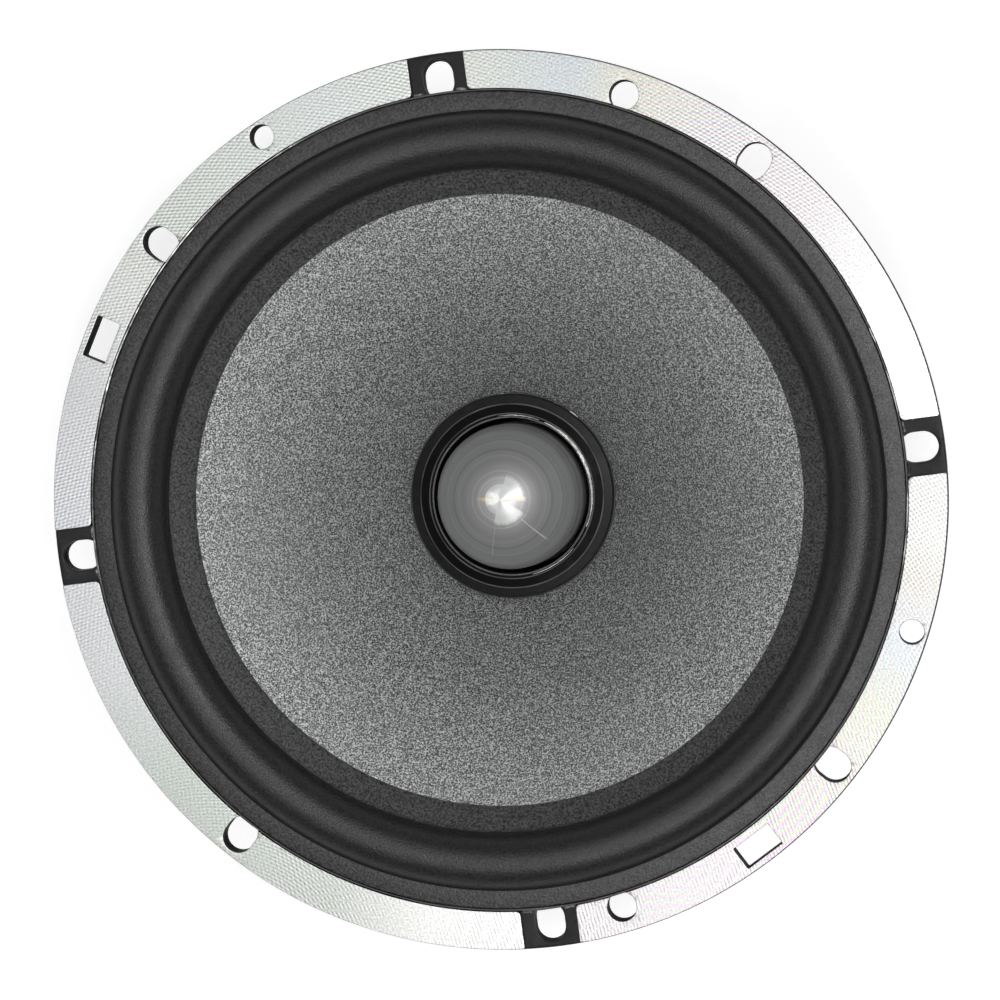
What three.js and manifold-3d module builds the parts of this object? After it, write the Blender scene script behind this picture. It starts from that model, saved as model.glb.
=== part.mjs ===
// A 165 mm (6.5 inch class) car door speaker with a fixed phase plug. Millimetres, degrees.
// +Z is the speaker's axis, towards the listener. z = 0 is the flat rear face of its motor.
import * as THREE from 'three';
import { mergeVertices } from 'three/addons/utils/BufferGeometryUtils.js';
import Module from 'manifold-3d';

const wasm = await Module();
wasm.setup();

// How finely round pieces are faceted.
const BIG_SIDES = 48;
const MID_SIDES = 36;
const SMALL_SIDES = 12;

// Heights along the axis, from the rear.
const YOKE_PLATE_TOP = 6;
const MAGNET_TOP = 20;
const TOP_PLATE_TOP = 25;
const POLE_TOP = 27;
const LEDGE_Z = 33.2; // where the spider is glued
const FLANGE_REAR = 65;
const FLANGE_FRONT = 70;
const CONE_THROAT_Z = 41; // front of the cone at CONE_THROAT_R
const PLUG_SHOULDER_Z = 45.5;
const PLUG_TIP_Z = 60.5;

// Flange and basket.
const FLANGE_R = 82.5;
const SEAT_R = 75.3; // wall of the recess that the surround is glued into
const SEAT_FLOOR_Z = FLANGE_FRONT - 1.2;
const FLANGE_BORE_R = 70.8;
const BODY_R = 71.3; // widest part behind the flange, for a 143 mm cut-out
const SPOKES = 6;
const SPOKE_WIDTH = 12;
const WINDOW_INNER_R = 48.5;
const WINDOW_TOP_Z = 60;
const BASE_RING_R = 30;
const BASE_RING_TOP = 27.6;
const CUP_R = 40.4;
const CUP_OUTER_R = 43;
const LIP_Z = 34.4; // top of the low wall round the spider
const VENT = { near: 37, far: 46, wide: 14, low: 27.9, high: 30.3 };
const LEDGE_R = 38.6;

// Everything on the flange is laid out from this angle.
const PATTERN = 7.6;
const POCKET_WIDTH = 10.3;
const POCKET_DEPTH = 1;
const POCKET_HOLE = { width: 5.5, length: 7, r: 77.8 };
const EDGE_HOLE = { width: 5.8, length: 7, r: 77.8 }; // midway between two pockets
const ROUND_HOLES = [
  { angle: 72.2, r: 77.6, diameter: 5.4 },
  { angle: 287.7, r: 77.6, diameter: 5.4 },
  { angle: 122.7, r: 79.4, diameter: 4.5 },
  { angle: 343.1, r: 79.4, diameter: 4.5 },
];
const CLIP_SLOTS = [
  { angle: 157.9, r: 78.9 },
  { angle: 307.8, r: 78.9 },
];
const CLIP_SLOT = { radial: 4.5, wide: 7.9 };

// Motor.
const YOKE_R = 41;
const POLE_R = 14.4;
const MAGNET_R = 45;
const MAGNET_BORE_R = 22;
const TOP_PLATE_R = 41.5;
const TOP_PLATE_BORE_R = 16.5;

// Moving assembly.
const FORMER_R = 14.9;
const FORMER_WALL = 0.3;
const FORMER_BOTTOM = 16.5;
const FORMER_TOP = 42.9;
const WINDING_WALL = 0.6;
const WINDING = { low: 17, high: 29 };
const GLUE = 0.05; // glue line between the coil former and what is on it
const CONE_THROAT_R = 19.8;
const NECK_RING = { r: 19.5, stepR: 17.55, lipR: 15.8, chamfer: 0.4 };
const CONE_RIM_R = 59.8;
const CONE_WALL = 0.85;
const THROAT_SLOPE = 0.795; // rise per mm of radius at the throat
const SLOPE_LOSS = 0.003427; // how fast the cone flattens towards its rim

// Soft parts.
const ROLL_INNER_R = 60.8;
const ROLL_OUTER_R = 71.5;
const ROLL_HEIGHT = 4.8;
const SURROUND_EDGE_R = 74.9;
const SURROUND_INNER_R = 56.3;
const SURROUND_WALL = 0.6;
const SPIDER_WALL = 0.5;
const SPIDER_WAVES = 4;
const SPIDER_WAVE = 1; // half the height of a corrugation
const SPIDER_EDGE_R = 43.8;

const PLUG_R = 13.75;

// Screws: M4 throughout.
const SCREW_R = 1.9;
const SCREW_HOLE_R = 2.3;
const SCREW_HEAD_R = 3.6;
const SCREW_HEAD_HEIGHT = 2.2;
const BASKET_SCREW_CIRCLE_R = 35.3;
const BASKET_SCREW_END = 20.8;
const PLUG_SCREW_SEAT = 3.2; // depth of the counterbore in the rear face
const PLUG_SCREW_END = 37;

// Terminals, in a frame turned so that +X runs out through the middle of a window.
const TERMINAL_ANGLE = PATTERN + 270;
const SHELF = { near: 46, far: 58, halfWidth: 13, low: 30.2 };
const BOARD = { near: 49.3, far: 60, halfWidth: 13, top: 34.8 };
const RIVET = { x: 54, y: 7.5, shankR: 1.2, holeR: 1.5, headR: 2.1, headHeight: 0.8 };
const TAB = { near: 50.8, far: 68.5, thick: 0.8, lugTop: 39.6 };
const TAB_WIDTHS = { positive: 6.3, negative: 4.8 };
const LEAD_R = 0.7;
const LEAD_START = { x: TAB.near - 0.3, y: 7.5, z: 38.2 }; // soldered to the lug
const LEAD_ARCH = [[46.5, 7.6, 41.2], [40, 7.5, 43.2], [34, 7.2, 42.4]];
const LEAD_PAD = { x: 27.2, y: 6.7, r: 2, thick: 1.4, gap: 0.1 };

const radians = THREE.MathUtils.degToRad;

// ---- building blocks ----

function revolve(outline, sides) {
  const points = outline.map(([r, z]) => new THREE.Vector2(r, z));
  if (THREE.ShapeUtils.area(points) < 0) points.reverse();
  const onAxis = points[0].x === 0 && points.at(-1).x === 0;
  if (!onAxis) points.push(points[0].clone());
  return new THREE.LatheGeometry(points, sides).rotateX(Math.PI / 2);
}

function block(x0, x1, y0, y1, z0, z1) {
  const box = new THREE.BoxGeometry(x1 - x0, y1 - y0, z1 - z0);
  return box.translate((x0 + x1) / 2, (y0 + y1) / 2, (z0 + z1) / 2);
}

function drum(r, z0, z1, sides = SMALL_SIDES) {
  const cylinder = new THREE.CylinderGeometry(r, r, z1 - z0, sides).rotateX(Math.PI / 2);
  return cylinder.translate(0, 0, (z0 + z1) / 2);
}

function turned(geometry, degrees) {
  return geometry.rotateZ(radians(degrees));
}

function solid(geometry) {
  const bare = geometry.clone();
  bare.deleteAttribute('normal');
  bare.deleteAttribute('uv');
  const merged = mergeVertices(bare);
  const vertProperties = new Float32Array(merged.attributes.position.array);
  const triVerts = new Uint32Array(merged.index.array);
  return new wasm.Manifold(new wasm.Mesh({ numProp: 3, vertProperties, triVerts }));
}

function geometryOf(manifold) {
  const mesh = manifold.getMesh();
  const geometry = new THREE.BufferGeometry();
  geometry.setAttribute('position', new THREE.BufferAttribute(mesh.vertProperties, 3));
  geometry.setIndex(new THREE.BufferAttribute(mesh.triVerts, 1));
  return geometry;
}

function cut(manifold, cutters) {
  return cutters.reduce((left, cutter) => left.subtract(solid(cutter)), manifold);
}

function curvePoints(start, control, end, steps) {
  const ends = [start, control, end].map(([r, z]) => new THREE.Vector2(r, z));
  const curve = new THREE.QuadraticBezierCurve(...ends);
  return curve.getPoints(steps).map((p) => [p.x, p.y]);
}

function countUp(count) {
  return Array.from({ length: count }, (_, i) => i);
}

function addMesh(parent, name, geometry, color, roughness, metalness) {
  const material = new THREE.MeshStandardMaterial({ color, roughness, metalness });
  const mesh = new THREE.Mesh(geometry, material);
  mesh.name = name;
  parent.add(mesh);
  return mesh;
}

// ---- basket ----

function basketShell() {
  const outerBowl = curvePoints([45.5, 31.2], [67, 36.5], [BODY_R, WINDOW_TOP_Z], 5);
  const innerBowl = curvePoints([68.3, 61.5], [64.5, 40], [47.5, LIP_Z], 5);
  const rearChamfer = 1.2;
  const edge = 0.3;
  return revolve([
    [BASE_RING_R, TOP_PLATE_TOP],
    [CUP_OUTER_R - rearChamfer, TOP_PLATE_TOP],
    [CUP_OUTER_R, TOP_PLATE_TOP + rearChamfer],
    [CUP_OUTER_R, VENT.high - 0.3],
    ...outerBowl,
    [BODY_R, FLANGE_REAR],
    [FLANGE_R, FLANGE_REAR],
    [FLANGE_R, FLANGE_FRONT - edge],
    [FLANGE_R - edge, FLANGE_FRONT],
    [SEAT_R, FLANGE_FRONT],
    [SEAT_R, SEAT_FLOOR_Z],
    [FLANGE_BORE_R, SEAT_FLOOR_Z],
    [FLANGE_BORE_R, 66.5],
    ...innerBowl,
    [SPIDER_EDGE_R + 0.4, LIP_Z],
    [SPIDER_EDGE_R + 0.4, LEDGE_Z],
    [LEDGE_R, LEDGE_Z],
    [LEDGE_R, 31.6],
    [CUP_R, 30.6],
    [CUP_R, BASE_RING_TOP],
    [BASE_RING_R, BASE_RING_TOP],
  ], BIG_SIDES);
}

// The windows are what is left of the bowl between straight-sided spokes.
function windowCutter(index) {
  const half = Math.PI / SPOKES;
  const apex = SPOKE_WIDTH / 2 / Math.sin(half);
  const reach = 95;
  const wedge = new THREE.Shape([
    new THREE.Vector2(apex, 0),
    new THREE.Vector2(apex + reach * Math.cos(half), -reach * Math.sin(half)),
    new THREE.Vector2(apex + reach * Math.cos(half), reach * Math.sin(half)),
  ]);
  const low = 29;
  const prism = new THREE.ExtrudeGeometry(wedge, { depth: WINDOW_TOP_Z - low, bevelEnabled: false });
  prism.translate(0, 0, low);
  const wall = drum(WINDOW_INNER_R, low - 1, WINDOW_TOP_Z + 1, BIG_SIDES);
  return solid(turned(prism, windowAngle(index))).subtract(solid(wall));
}

function windowAngle(index) {
  return PATTERN + ((index + 0.5) * 360) / SPOKES;
}

// Air slots through the cup wall, under the spider.
function ventCutter(index) {
  const { near, far, wide, low, high } = VENT;
  return turned(block(near, far, -wide / 2, wide / 2, low, high), windowAngle(index));
}

function longHole({ width, length, r }) {
  const straight = (length - width) / 2;
  const outline = new THREE.Shape();
  outline.absarc(r + straight, 0, width / 2, -Math.PI / 2, Math.PI / 2);
  outline.absarc(r - straight, 0, width / 2, Math.PI / 2, (Math.PI * 3) / 2);
  const options = { depth: 10, bevelEnabled: false, curveSegments: 3 };
  return new THREE.ExtrudeGeometry(outline, options).translate(0, 0, FLANGE_REAR - 2);
}

function flangeCutters() {
  const cutters = [];
  for (const index of countUp(4)) {
    const angle = PATTERN + index * 90;
    const half = POCKET_WIDTH / 2;
    const floor = FLANGE_FRONT - POCKET_DEPTH;
    cutters.push(turned(block(SEAT_R - 0.5, 85, -half, half, floor, 72), angle));
    cutters.push(turned(longHole(POCKET_HOLE), angle));
    cutters.push(turned(longHole(EDGE_HOLE), angle + 45));
  }
  for (const { angle, r, diameter } of ROUND_HOLES) {
    cutters.push(turned(drum(diameter / 2, 63, 72).translate(r, 0, 0), angle));
  }
  for (const { angle, r } of CLIP_SLOTS) {
    const deep = CLIP_SLOT.radial / 2;
    const half = CLIP_SLOT.wide / 2;
    cutters.push(turned(block(r - deep, r + deep, -half, half, 63, 72), angle));
  }
  return cutters;
}

function basketScrewPlaces() {
  return countUp(4).map((index) => {
    const angle = radians(PATTERN + 45 + index * 90);
    return [BASKET_SCREW_CIRCLE_R * Math.cos(angle), BASKET_SCREW_CIRCLE_R * Math.sin(angle)];
  });
}

function screwHoles(z0, z1) {
  return basketScrewPlaces().map(([x, y]) => drum(SCREW_HOLE_R, z0, z1).translate(x, y, 0));
}

function rivetHoles(z0, z1) {
  return [1, -1].map((side) => drum(RIVET.holeR, z0, z1).translate(RIVET.x, side * RIVET.y, 0));
}

function basket() {
  let body = solid(basketShell());
  for (const index of countUp(SPOKES)) body = body.subtract(windowCutter(index));
  const { near, far, halfWidth, low } = SHELF;
  const shelf = block(near, far, -halfWidth, halfWidth, low, LEDGE_Z);
  body = body.add(solid(turned(shelf, TERMINAL_ANGLE)));
  const holes = rivetHoles(low - 1, LEDGE_Z + 1).map((hole) => turned(hole, TERMINAL_ANGLE));
  const vents = countUp(SPOKES).map(ventCutter);
  return cut(body, [...flangeCutters(), ...vents, ...screwHoles(24, 29), ...holes]);
}

// ---- motor ----

function yoke() {
  return revolve([
    [SCREW_HEAD_R + 0.8, 0],
    [YOKE_R - 2, 0],
    [YOKE_R, 2],
    [YOKE_R, YOKE_PLATE_TOP],
    [POLE_R + 2.5, YOKE_PLATE_TOP],
    [POLE_R, YOKE_PLATE_TOP + 2.5],
    [POLE_R, POLE_TOP],
    [SCREW_HOLE_R, POLE_TOP],
    [SCREW_HOLE_R, PLUG_SCREW_SEAT],
    [SCREW_HEAD_R + 0.8, PLUG_SCREW_SEAT],
  ], MID_SIDES);
}

function magnet() {
  const chamfer = 1;
  return revolve([
    [MAGNET_BORE_R, YOKE_PLATE_TOP],
    [MAGNET_R - chamfer, YOKE_PLATE_TOP],
    [MAGNET_R, YOKE_PLATE_TOP + chamfer],
    [MAGNET_R, MAGNET_TOP - chamfer],
    [MAGNET_R - chamfer, MAGNET_TOP],
    [MAGNET_BORE_R, MAGNET_TOP],
  ], MID_SIDES);
}

function topPlate() {
  const plate = revolve([
    [TOP_PLATE_BORE_R, MAGNET_TOP],
    [TOP_PLATE_R, MAGNET_TOP],
    [TOP_PLATE_R, TOP_PLATE_TOP],
    [TOP_PLATE_BORE_R, TOP_PLATE_TOP],
  ], MID_SIDES);
  return cut(solid(plate), screwHoles(MAGNET_TOP - 1, TOP_PLATE_TOP + 1));
}

// The bullet: a straight skirt from the pole to the shoulder, then an ogive to the tip.
function phasePlug() {
  const steps = 7;
  const height = PLUG_TIP_Z - PLUG_SHOULDER_Z;
  const ogive = countUp(steps + 1).map((i) => {
    const t = (i / steps) * (Math.PI / 2);
    return [PLUG_R * Math.cos(t), PLUG_SHOULDER_Z + height * Math.sin(t) ** 1.15];
  });
  ogive[steps][0] = 0;
  return revolve([
    [0, PLUG_SCREW_END + 1],
    [SCREW_HOLE_R, PLUG_SCREW_END + 1],
    [SCREW_HOLE_R, POLE_TOP],
    [PLUG_R, POLE_TOP],
    ...ogive,
  ], MID_SIDES);
}

// A pan-head screw standing on z = 0, its head below it and its shank above it.
function screw(length) {
  const chamfer = 0.6;
  return revolve([
    [0, -SCREW_HEAD_HEIGHT],
    [SCREW_HEAD_R - chamfer, -SCREW_HEAD_HEIGHT],
    [SCREW_HEAD_R, -SCREW_HEAD_HEIGHT + chamfer],
    [SCREW_HEAD_R, 0],
    [SCREW_R, 0],
    [SCREW_R, length],
    [0, length],
  ], SMALL_SIDES);
}

// ---- moving assembly ----

function coneFront(r) {
  const out = r - CONE_THROAT_R;
  return CONE_THROAT_Z + THROAT_SLOPE * out - SLOPE_LOSS * out * out;
}

function coneSlope(r) {
  return Math.atan(THROAT_SLOPE - 2 * SLOPE_LOSS * (r - CONE_THROAT_R));
}

function coneBack(r) {
  return coneFront(r) - CONE_WALL / Math.cos(coneSlope(r));
}

function cone() {
  const neck = FORMER_R + FORMER_WALL + GLUE;
  const steps = 4;
  const radii = countUp(steps + 1).map((i) => neck + ((CONE_RIM_R - neck) * i) / steps);
  const back = radii.map((r) => [r, coneBack(r)]);
  const front = radii.map((r) => [r, coneFront(r)]).reverse();
  return revolve([...back, ...front], BIG_SIDES);
}

// The stepped ring that joins the cone's neck to the coil former.
function neckRing() {
  const inner = FORMER_R + FORMER_WALL + GLUE;
  const gap = 0.1;
  const { r, stepR, lipR, chamfer } = NECK_RING;
  const edge = r - chamfer / 2;
  const top = FORMER_TOP;
  return revolve([
    [inner, coneFront(inner) + gap],
    [edge, coneFront(edge) + gap],
    [r, top - 1.8],
    [r - chamfer, top - 1.3],
    [stepR + chamfer / 2, top - 0.85],
    [stepR - chamfer / 2, top - 0.4],
    [lipR, top],
    [inner, top],
  ], MID_SIDES);
}

function sleeve(inner, wall, low, high) {
  const outline = [[inner, low], [inner + wall, low], [inner + wall, high], [inner, high]];
  return revolve(outline, MID_SIDES);
}

// ---- soft parts ----

function surround() {
  const seat = SEAT_FLOOR_Z;
  const middle = (ROLL_INNER_R + ROLL_OUTER_R) / 2;
  const half = (ROLL_OUTER_R - ROLL_INNER_R) / 2;
  const gap = 0.1;
  const innerFoot = coneFront(ROLL_INNER_R) + gap;
  const steps = 6;
  const roll = (reach, height, lift) => countUp(steps + 1).map((i) => {
    const t = Math.PI * (i / steps);
    const foot = THREE.MathUtils.lerp(seat, innerFoot, i / steps);
    return [middle + reach * Math.cos(t), foot + lift + height * Math.sin(t)];
  });
  const outside = roll(half, ROLL_HEIGHT, SURROUND_WALL);
  const inside = roll(half - SURROUND_WALL, ROLL_HEIGHT, 0).reverse();
  return revolve([
    [SURROUND_EDGE_R, seat],
    [SURROUND_EDGE_R, seat + SURROUND_WALL],
    ...outside,
    [SURROUND_INNER_R, coneFront(SURROUND_INNER_R) + gap + SURROUND_WALL],
    [SURROUND_INNER_R, coneFront(SURROUND_INNER_R) + gap],
    [CONE_RIM_R, coneFront(CONE_RIM_R) + gap],
    ...inside,
  ], BIG_SIDES);
}

function spider() {
  const inner = FORMER_R + FORMER_WALL + GLUE;
  const flat = LEDGE_R - 0.6;
  const first = 19;
  const wave = (flat - first) / SPIDER_WAVES;
  const middle = LEDGE_Z + 0.2;
  const ridge = [[inner, middle + 0.6], [first - 1.5, middle]];
  for (const i of countUp(SPIDER_WAVES)) {
    ridge.push([first + wave * (i + 0.25), middle + SPIDER_WAVE]);
    ridge.push([first + wave * (i + 0.75), middle - SPIDER_WAVE]);
  }
  ridge.push([flat, LEDGE_Z], [SPIDER_EDGE_R, LEDGE_Z]);
  const top = ridge.map(([r, z]) => [r, z + SPIDER_WALL]).reverse();
  return revolve([...ridge, ...top], MID_SIDES);
}

// ---- terminals and leads, in the turned frame ----

function terminalBoard() {
  const { near, far, halfWidth, top } = BOARD;
  const board = block(near, far, -halfWidth, halfWidth, LEDGE_Z, top);
  return cut(solid(board), rivetHoles(LEDGE_Z - 1, top + 1));
}

function terminalTab(side, width) {
  const { near, far, thick, lugTop } = TAB;
  const low = side * RIVET.y - width / 2;
  const high = side * RIVET.y + width / 2;
  const blade = solid(block(near, far, low, high, BOARD.top, BOARD.top + thick));
  const lug = solid(block(near, near + thick, low + 1, high - 1, BOARD.top, lugTop));
  return cut(blade.add(lug), rivetHoles(BOARD.top - 1, BOARD.top + thick + 1));
}

function rivet() {
  const { shankR, headR, headHeight } = RIVET;
  const headLow = BOARD.top + TAB.thick;
  return revolve([
    [0, SHELF.low - headHeight],
    [headR, SHELF.low - headHeight],
    [headR, SHELF.low],
    [shankR, SHELF.low],
    [shankR, headLow],
    [headR, headLow],
    [headR - 0.6, headLow + headHeight],
    [0, headLow + headHeight],
  ], SMALL_SIDES);
}

// A stuck-on pad under the cone, where a lead meets the coil's wire.
function leadPadPlace(side) {
  const r = Math.hypot(LEAD_PAD.x, LEAD_PAD.y);
  const around = Math.atan2(side * LEAD_PAD.y, LEAD_PAD.x);
  const slope = coneSlope(r);
  const away = [Math.sin(slope), -Math.cos(slope)];
  return { around, slope, r, z: coneBack(r), away };
}

function leadPad(side) {
  const { around, slope, r, z, away } = leadPadPlace(side);
  const out = LEAD_PAD.gap + LEAD_PAD.thick / 2;
  const pad = drum(LEAD_PAD.r, -LEAD_PAD.thick / 2, LEAD_PAD.thick / 2);
  pad.rotateY(-slope).translate(r + away[0] * out, 0, z + away[1] * out);
  return pad.rotateZ(around);
}

function lead(side) {
  const { around, r, z, away } = leadPadPlace(side);
  const out = LEAD_PAD.gap + LEAD_PAD.thick + 0.3;
  const onPad = (further) => {
    const distance = r + away[0] * (out + further);
    return [distance * Math.cos(around), distance * Math.sin(around), z + away[1] * (out + further)];
  };
  const route = [
    [LEAD_START.x, side * LEAD_START.y, LEAD_START.z],
    ...LEAD_ARCH.map(([x, y, z]) => [x, side * y, z]),
    onPad(1.6),
    onPad(0),
  ];
  const path = new THREE.CatmullRomCurve3(route.map((p) => new THREE.Vector3(...p)));
  const section = new THREE.Shape();
  section.absarc(0, 0, LEAD_R, 0, Math.PI * 2);
  return new THREE.ExtrudeGeometry(section, { steps: 12, curveSegments: 4, extrudePath: path });
}

// ---- the speaker ----

const speaker = new THREE.Group();
const SATIN_BLACK = 0x242426;
const ZINC = 0xb9bbbd;

addMesh(speaker, 'basket', geometryOf(basket()), 0x9b9c9c, 0.4, 0.8);
addMesh(speaker, 'surround', surround(), 0x2a2b2d, 0.6, 0);
addMesh(speaker, 'spider', spider(), 0xb08d4f, 0.9, 0);
addMesh(speaker, 'top_plate', geometryOf(topPlate()), SATIN_BLACK, 0.5, 0.6);
addMesh(speaker, 'magnet', magnet(), 0x38393b, 0.8, 0.1);
addMesh(speaker, 'yoke', yoke(), SATIN_BLACK, 0.5, 0.6);
addMesh(speaker, 'phase_plug', phasePlug(), 0x8c8e90, 0.3, 1);

const plugScrew = addMesh(speaker, 'plug_screw', screw(PLUG_SCREW_END - PLUG_SCREW_SEAT), ZINC, 0.35, 1);
plugScrew.position.z = PLUG_SCREW_SEAT;

basketScrewPlaces().forEach(([x, y], index) => {
  const length = BASE_RING_TOP - BASKET_SCREW_END;
  const fastener = addMesh(speaker, `basket_screw_${index + 1}`, screw(length), ZINC, 0.35, 1);
  fastener.position.set(x, y, BASE_RING_TOP);
  fastener.rotation.x = Math.PI;
});

const movingAssembly = new THREE.Group();
speaker.add(movingAssembly);
const former = sleeve(FORMER_R, FORMER_WALL, FORMER_BOTTOM, FORMER_TOP);
const winding = sleeve(FORMER_R + FORMER_WALL, WINDING_WALL, WINDING.low, WINDING.high);
addMesh(movingAssembly, 'cone', cone(), 0x808486, 0.5, 0.4);
addMesh(movingAssembly, 'neck_ring', neckRing(), 0x1e1e20, 0.5, 0);
addMesh(movingAssembly, 'coil_former', former, 0x2b2a2a, 0.5, 0.2);
addMesh(movingAssembly, 'coil_winding', winding, 0xb4693a, 0.35, 0.9);

const terminals = new THREE.Group();
terminals.rotation.z = radians(TERMINAL_ANGLE);
speaker.add(terminals);
addMesh(terminals, 'terminal_board', geometryOf(terminalBoard()), 0x1c1a18, 0.7, 0);
Object.entries(TAB_WIDTHS).forEach(([pole, width], index) => {
  const side = index === 0 ? 1 : -1;
  addMesh(terminals, `terminal_tab_${pole}`, geometryOf(terminalTab(side, width)), 0xc9a55a, 0.3, 1);
  addMesh(terminals, `lead_${pole}`, lead(side), 0xa8683c, 0.5, 0.6);
  addMesh(terminals, `lead_pad_${pole}`, leadPad(side), 0x141414, 0.6, 0);
  const fastener = addMesh(terminals, `terminal_rivet_${index + 1}`, rivet(), ZINC, 0.35, 1);
  fastener.position.set(RIVET.x, side * RIVET.y, 0);
});

export default speaker;
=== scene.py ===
"""A 165 mm car door speaker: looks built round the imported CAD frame. Lengths below are in mm."""
from math import acos, asin, atan, atan2, cos, degrees, hypot, pi, radians, sin, sqrt, tan

import bmesh
import bpy
from mathutils import Matrix, Vector, geometry, noise


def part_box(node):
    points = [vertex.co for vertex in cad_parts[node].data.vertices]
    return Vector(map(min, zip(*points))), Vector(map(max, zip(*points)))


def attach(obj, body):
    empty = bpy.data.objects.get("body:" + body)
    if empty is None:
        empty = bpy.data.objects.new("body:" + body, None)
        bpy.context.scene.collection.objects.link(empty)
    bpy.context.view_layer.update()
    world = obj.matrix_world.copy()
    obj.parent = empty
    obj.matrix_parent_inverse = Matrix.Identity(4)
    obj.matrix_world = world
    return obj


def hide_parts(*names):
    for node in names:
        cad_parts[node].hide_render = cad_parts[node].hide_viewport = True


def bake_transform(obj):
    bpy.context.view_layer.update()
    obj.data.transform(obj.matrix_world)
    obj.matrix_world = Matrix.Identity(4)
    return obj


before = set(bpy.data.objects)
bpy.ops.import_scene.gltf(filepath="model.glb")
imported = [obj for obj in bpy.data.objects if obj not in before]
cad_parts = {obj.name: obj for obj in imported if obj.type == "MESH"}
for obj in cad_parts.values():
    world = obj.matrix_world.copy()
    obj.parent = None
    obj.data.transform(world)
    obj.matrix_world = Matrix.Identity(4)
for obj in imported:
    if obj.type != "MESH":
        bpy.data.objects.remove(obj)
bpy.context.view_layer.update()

MM = 0.001
TAU = 2 * pi
FRAME_BODY = "frame"
MOVING_BODY = "moving_assembly"


def cad(node):
    """The node's lowest and highest corners, in mm."""
    low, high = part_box(node)
    return Vector(low) / MM, Vector(high) / MM


# ---- sizes read from the frame ----
FLANGE_R = cad("basket")[1].x
FLANGE_FRONT = cad("basket")[1].z
FLANGE_REAR = FLANGE_FRONT - 5
MAGNET_LOW, MAGNET_HIGH = cad("magnet")
PLATE_LOW, PLATE_HIGH = cad("top_plate")
YOKE_HIGH = cad("yoke")[1]
PLUG_LOW, PLUG_HIGH = cad("phase_plug")
BOARD_LOW, BOARD_HIGH = cad("terminal_board")

# ---- sizes shared with the CAD model ----
PATTERN = 7.6
LEDGE_Z = 33.2
SEAT_R = 75.3
SEAT_FLOOR_Z = FLANGE_FRONT - 1.2
FLANGE_BORE_R = 70.8
CONE_THROAT_Z, CONE_THROAT_R, CONE_RIM_R, CONE_WALL = 41.0, 19.8, 59.8, 0.85
THROAT_SLOPE, SLOPE_LOSS = 0.795, 0.003427
FORMER_R, FORMER_WALL = 14.9, 0.3
ROLL_INNER_R, ROLL_OUTER_R, ROLL_HEIGHT, SURROUND_WALL = 60.8, 71.5, 4.8, 0.6
SURROUND_INNER_R = 56.3
RING_R, RING_STEP_R, RING_LIP_R = 19.5, 17.55, 15.8
POLE_R, PLATE_BORE_R = 14.4, 16.5
TERMINAL_ANGLE = PATTERN + 270


# ---------------------------------------------------------------- mesh tools

def new_object(name, data):
    obj = bpy.data.objects.new(name, data)
    bpy.context.scene.collection.objects.link(obj)
    return obj


def smooth(mesh, sharp=32):
    """Smooths all but the edges sharper than so many degrees."""
    mesh.shade_smooth()
    mesh.set_sharp_from_angle(angle=radians(sharp))


def mesh_object(name, verts, faces, material, sharp=32):
    """An object whose faces point outwards."""
    mesh = bpy.data.meshes.new(name)
    mesh.from_pydata([Vector(v) * MM for v in verts], [], faces)
    work = bmesh.new()
    work.from_mesh(mesh)
    bmesh.ops.remove_doubles(work, verts=work.verts, dist=1e-7)
    bmesh.ops.recalc_face_normals(work, faces=work.faces)
    work.to_mesh(mesh)
    work.free()
    smooth(mesh, sharp)
    mesh.materials.append(material)
    return new_object(name, mesh)


def arc(cx, cy, radius, start, end, steps):
    """Points on an arc; the angles are in degrees."""
    angles = [radians(start + (end - start) * i / steps) for i in range(steps + 1)]
    return [(cx + radius * cos(a), cy + radius * sin(a)) for a in angles]


def filleted(corners, steps=4):
    """A closed outline whose corners (x, y, radius) are rounded by that radius."""
    outline = []
    for i, (x, y, radius) in enumerate(corners):
        here = Vector((x, y))
        before = (Vector(corners[i - 1][:2]) - here).normalized()
        after = (Vector(corners[(i + 1) % len(corners)][:2]) - here).normalized()
        if radius <= 0:
            outline.append((x, y))
            continue
        half = before.angle(after) / 2
        reach = radius / tan(half)
        centre = here + (before + after).normalized() * (radius / sin(half))
        first = here + before * reach - centre
        last = here + after * reach - centre
        for k in range(steps + 1):
            t = k / steps
            spoke = first.lerp(last, t).normalized() * radius
            outline.append(tuple(centre + spoke))
    return outline


def mirrored(corners):
    """Corners (x, y, radius) followed by their mirror images over the x axis, to close an outline."""
    return corners + [(x, -y, radius) for x, y, radius in reversed(corners)]


def quads(rows, size, wrap_rows=False):
    """Faces that join each row of points to the next."""
    faces = []
    for k in range(rows if wrap_rows else rows - 1):
        here, there = k * size, (k + 1) % rows * size
        for i in range(size):
            j = (i + 1) % size
            faces.append((here + i, there + i, there + j, here + j))
    return faces


def capped_rows(rows, size):
    """Faces of a tube-like body of rows of points, with both ends closed."""
    ends = [tuple(range(size)), tuple(range((rows - 1) * size, rows * size))]
    return quads(rows, size) + ends


def at(radius, angle, z):
    """The point at a radius and an angle in radians round the axis."""
    return radius * cos(angle), radius * sin(angle), z


def ring_solid(outline, sides=120):
    """Vertices and faces of a closed (r, z) outline turned round the axis."""
    verts = []
    for k in range(sides):
        verts += [at(r, TAU * k / sides, z) for r, z in outline]
    return verts, quads(sides, len(outline), wrap_rows=True)


def lathe(name, outline, material, sides=192, sharp=32):
    return mesh_object(name, *ring_solid(outline, sides), material, sharp)


def prism(outline, low, high):
    """Vertices and faces of a straight prism on an (x, y) outline."""
    return [(x, y, z) for z in (low, high) for x, y in outline], capped_rows(2, len(outline))


def turn(points, degrees):
    c, s = cos(radians(degrees)), sin(radians(degrees))
    return [(x * c - y * s, x * s + y * c, *rest) for x, y, *rest in points]


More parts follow.
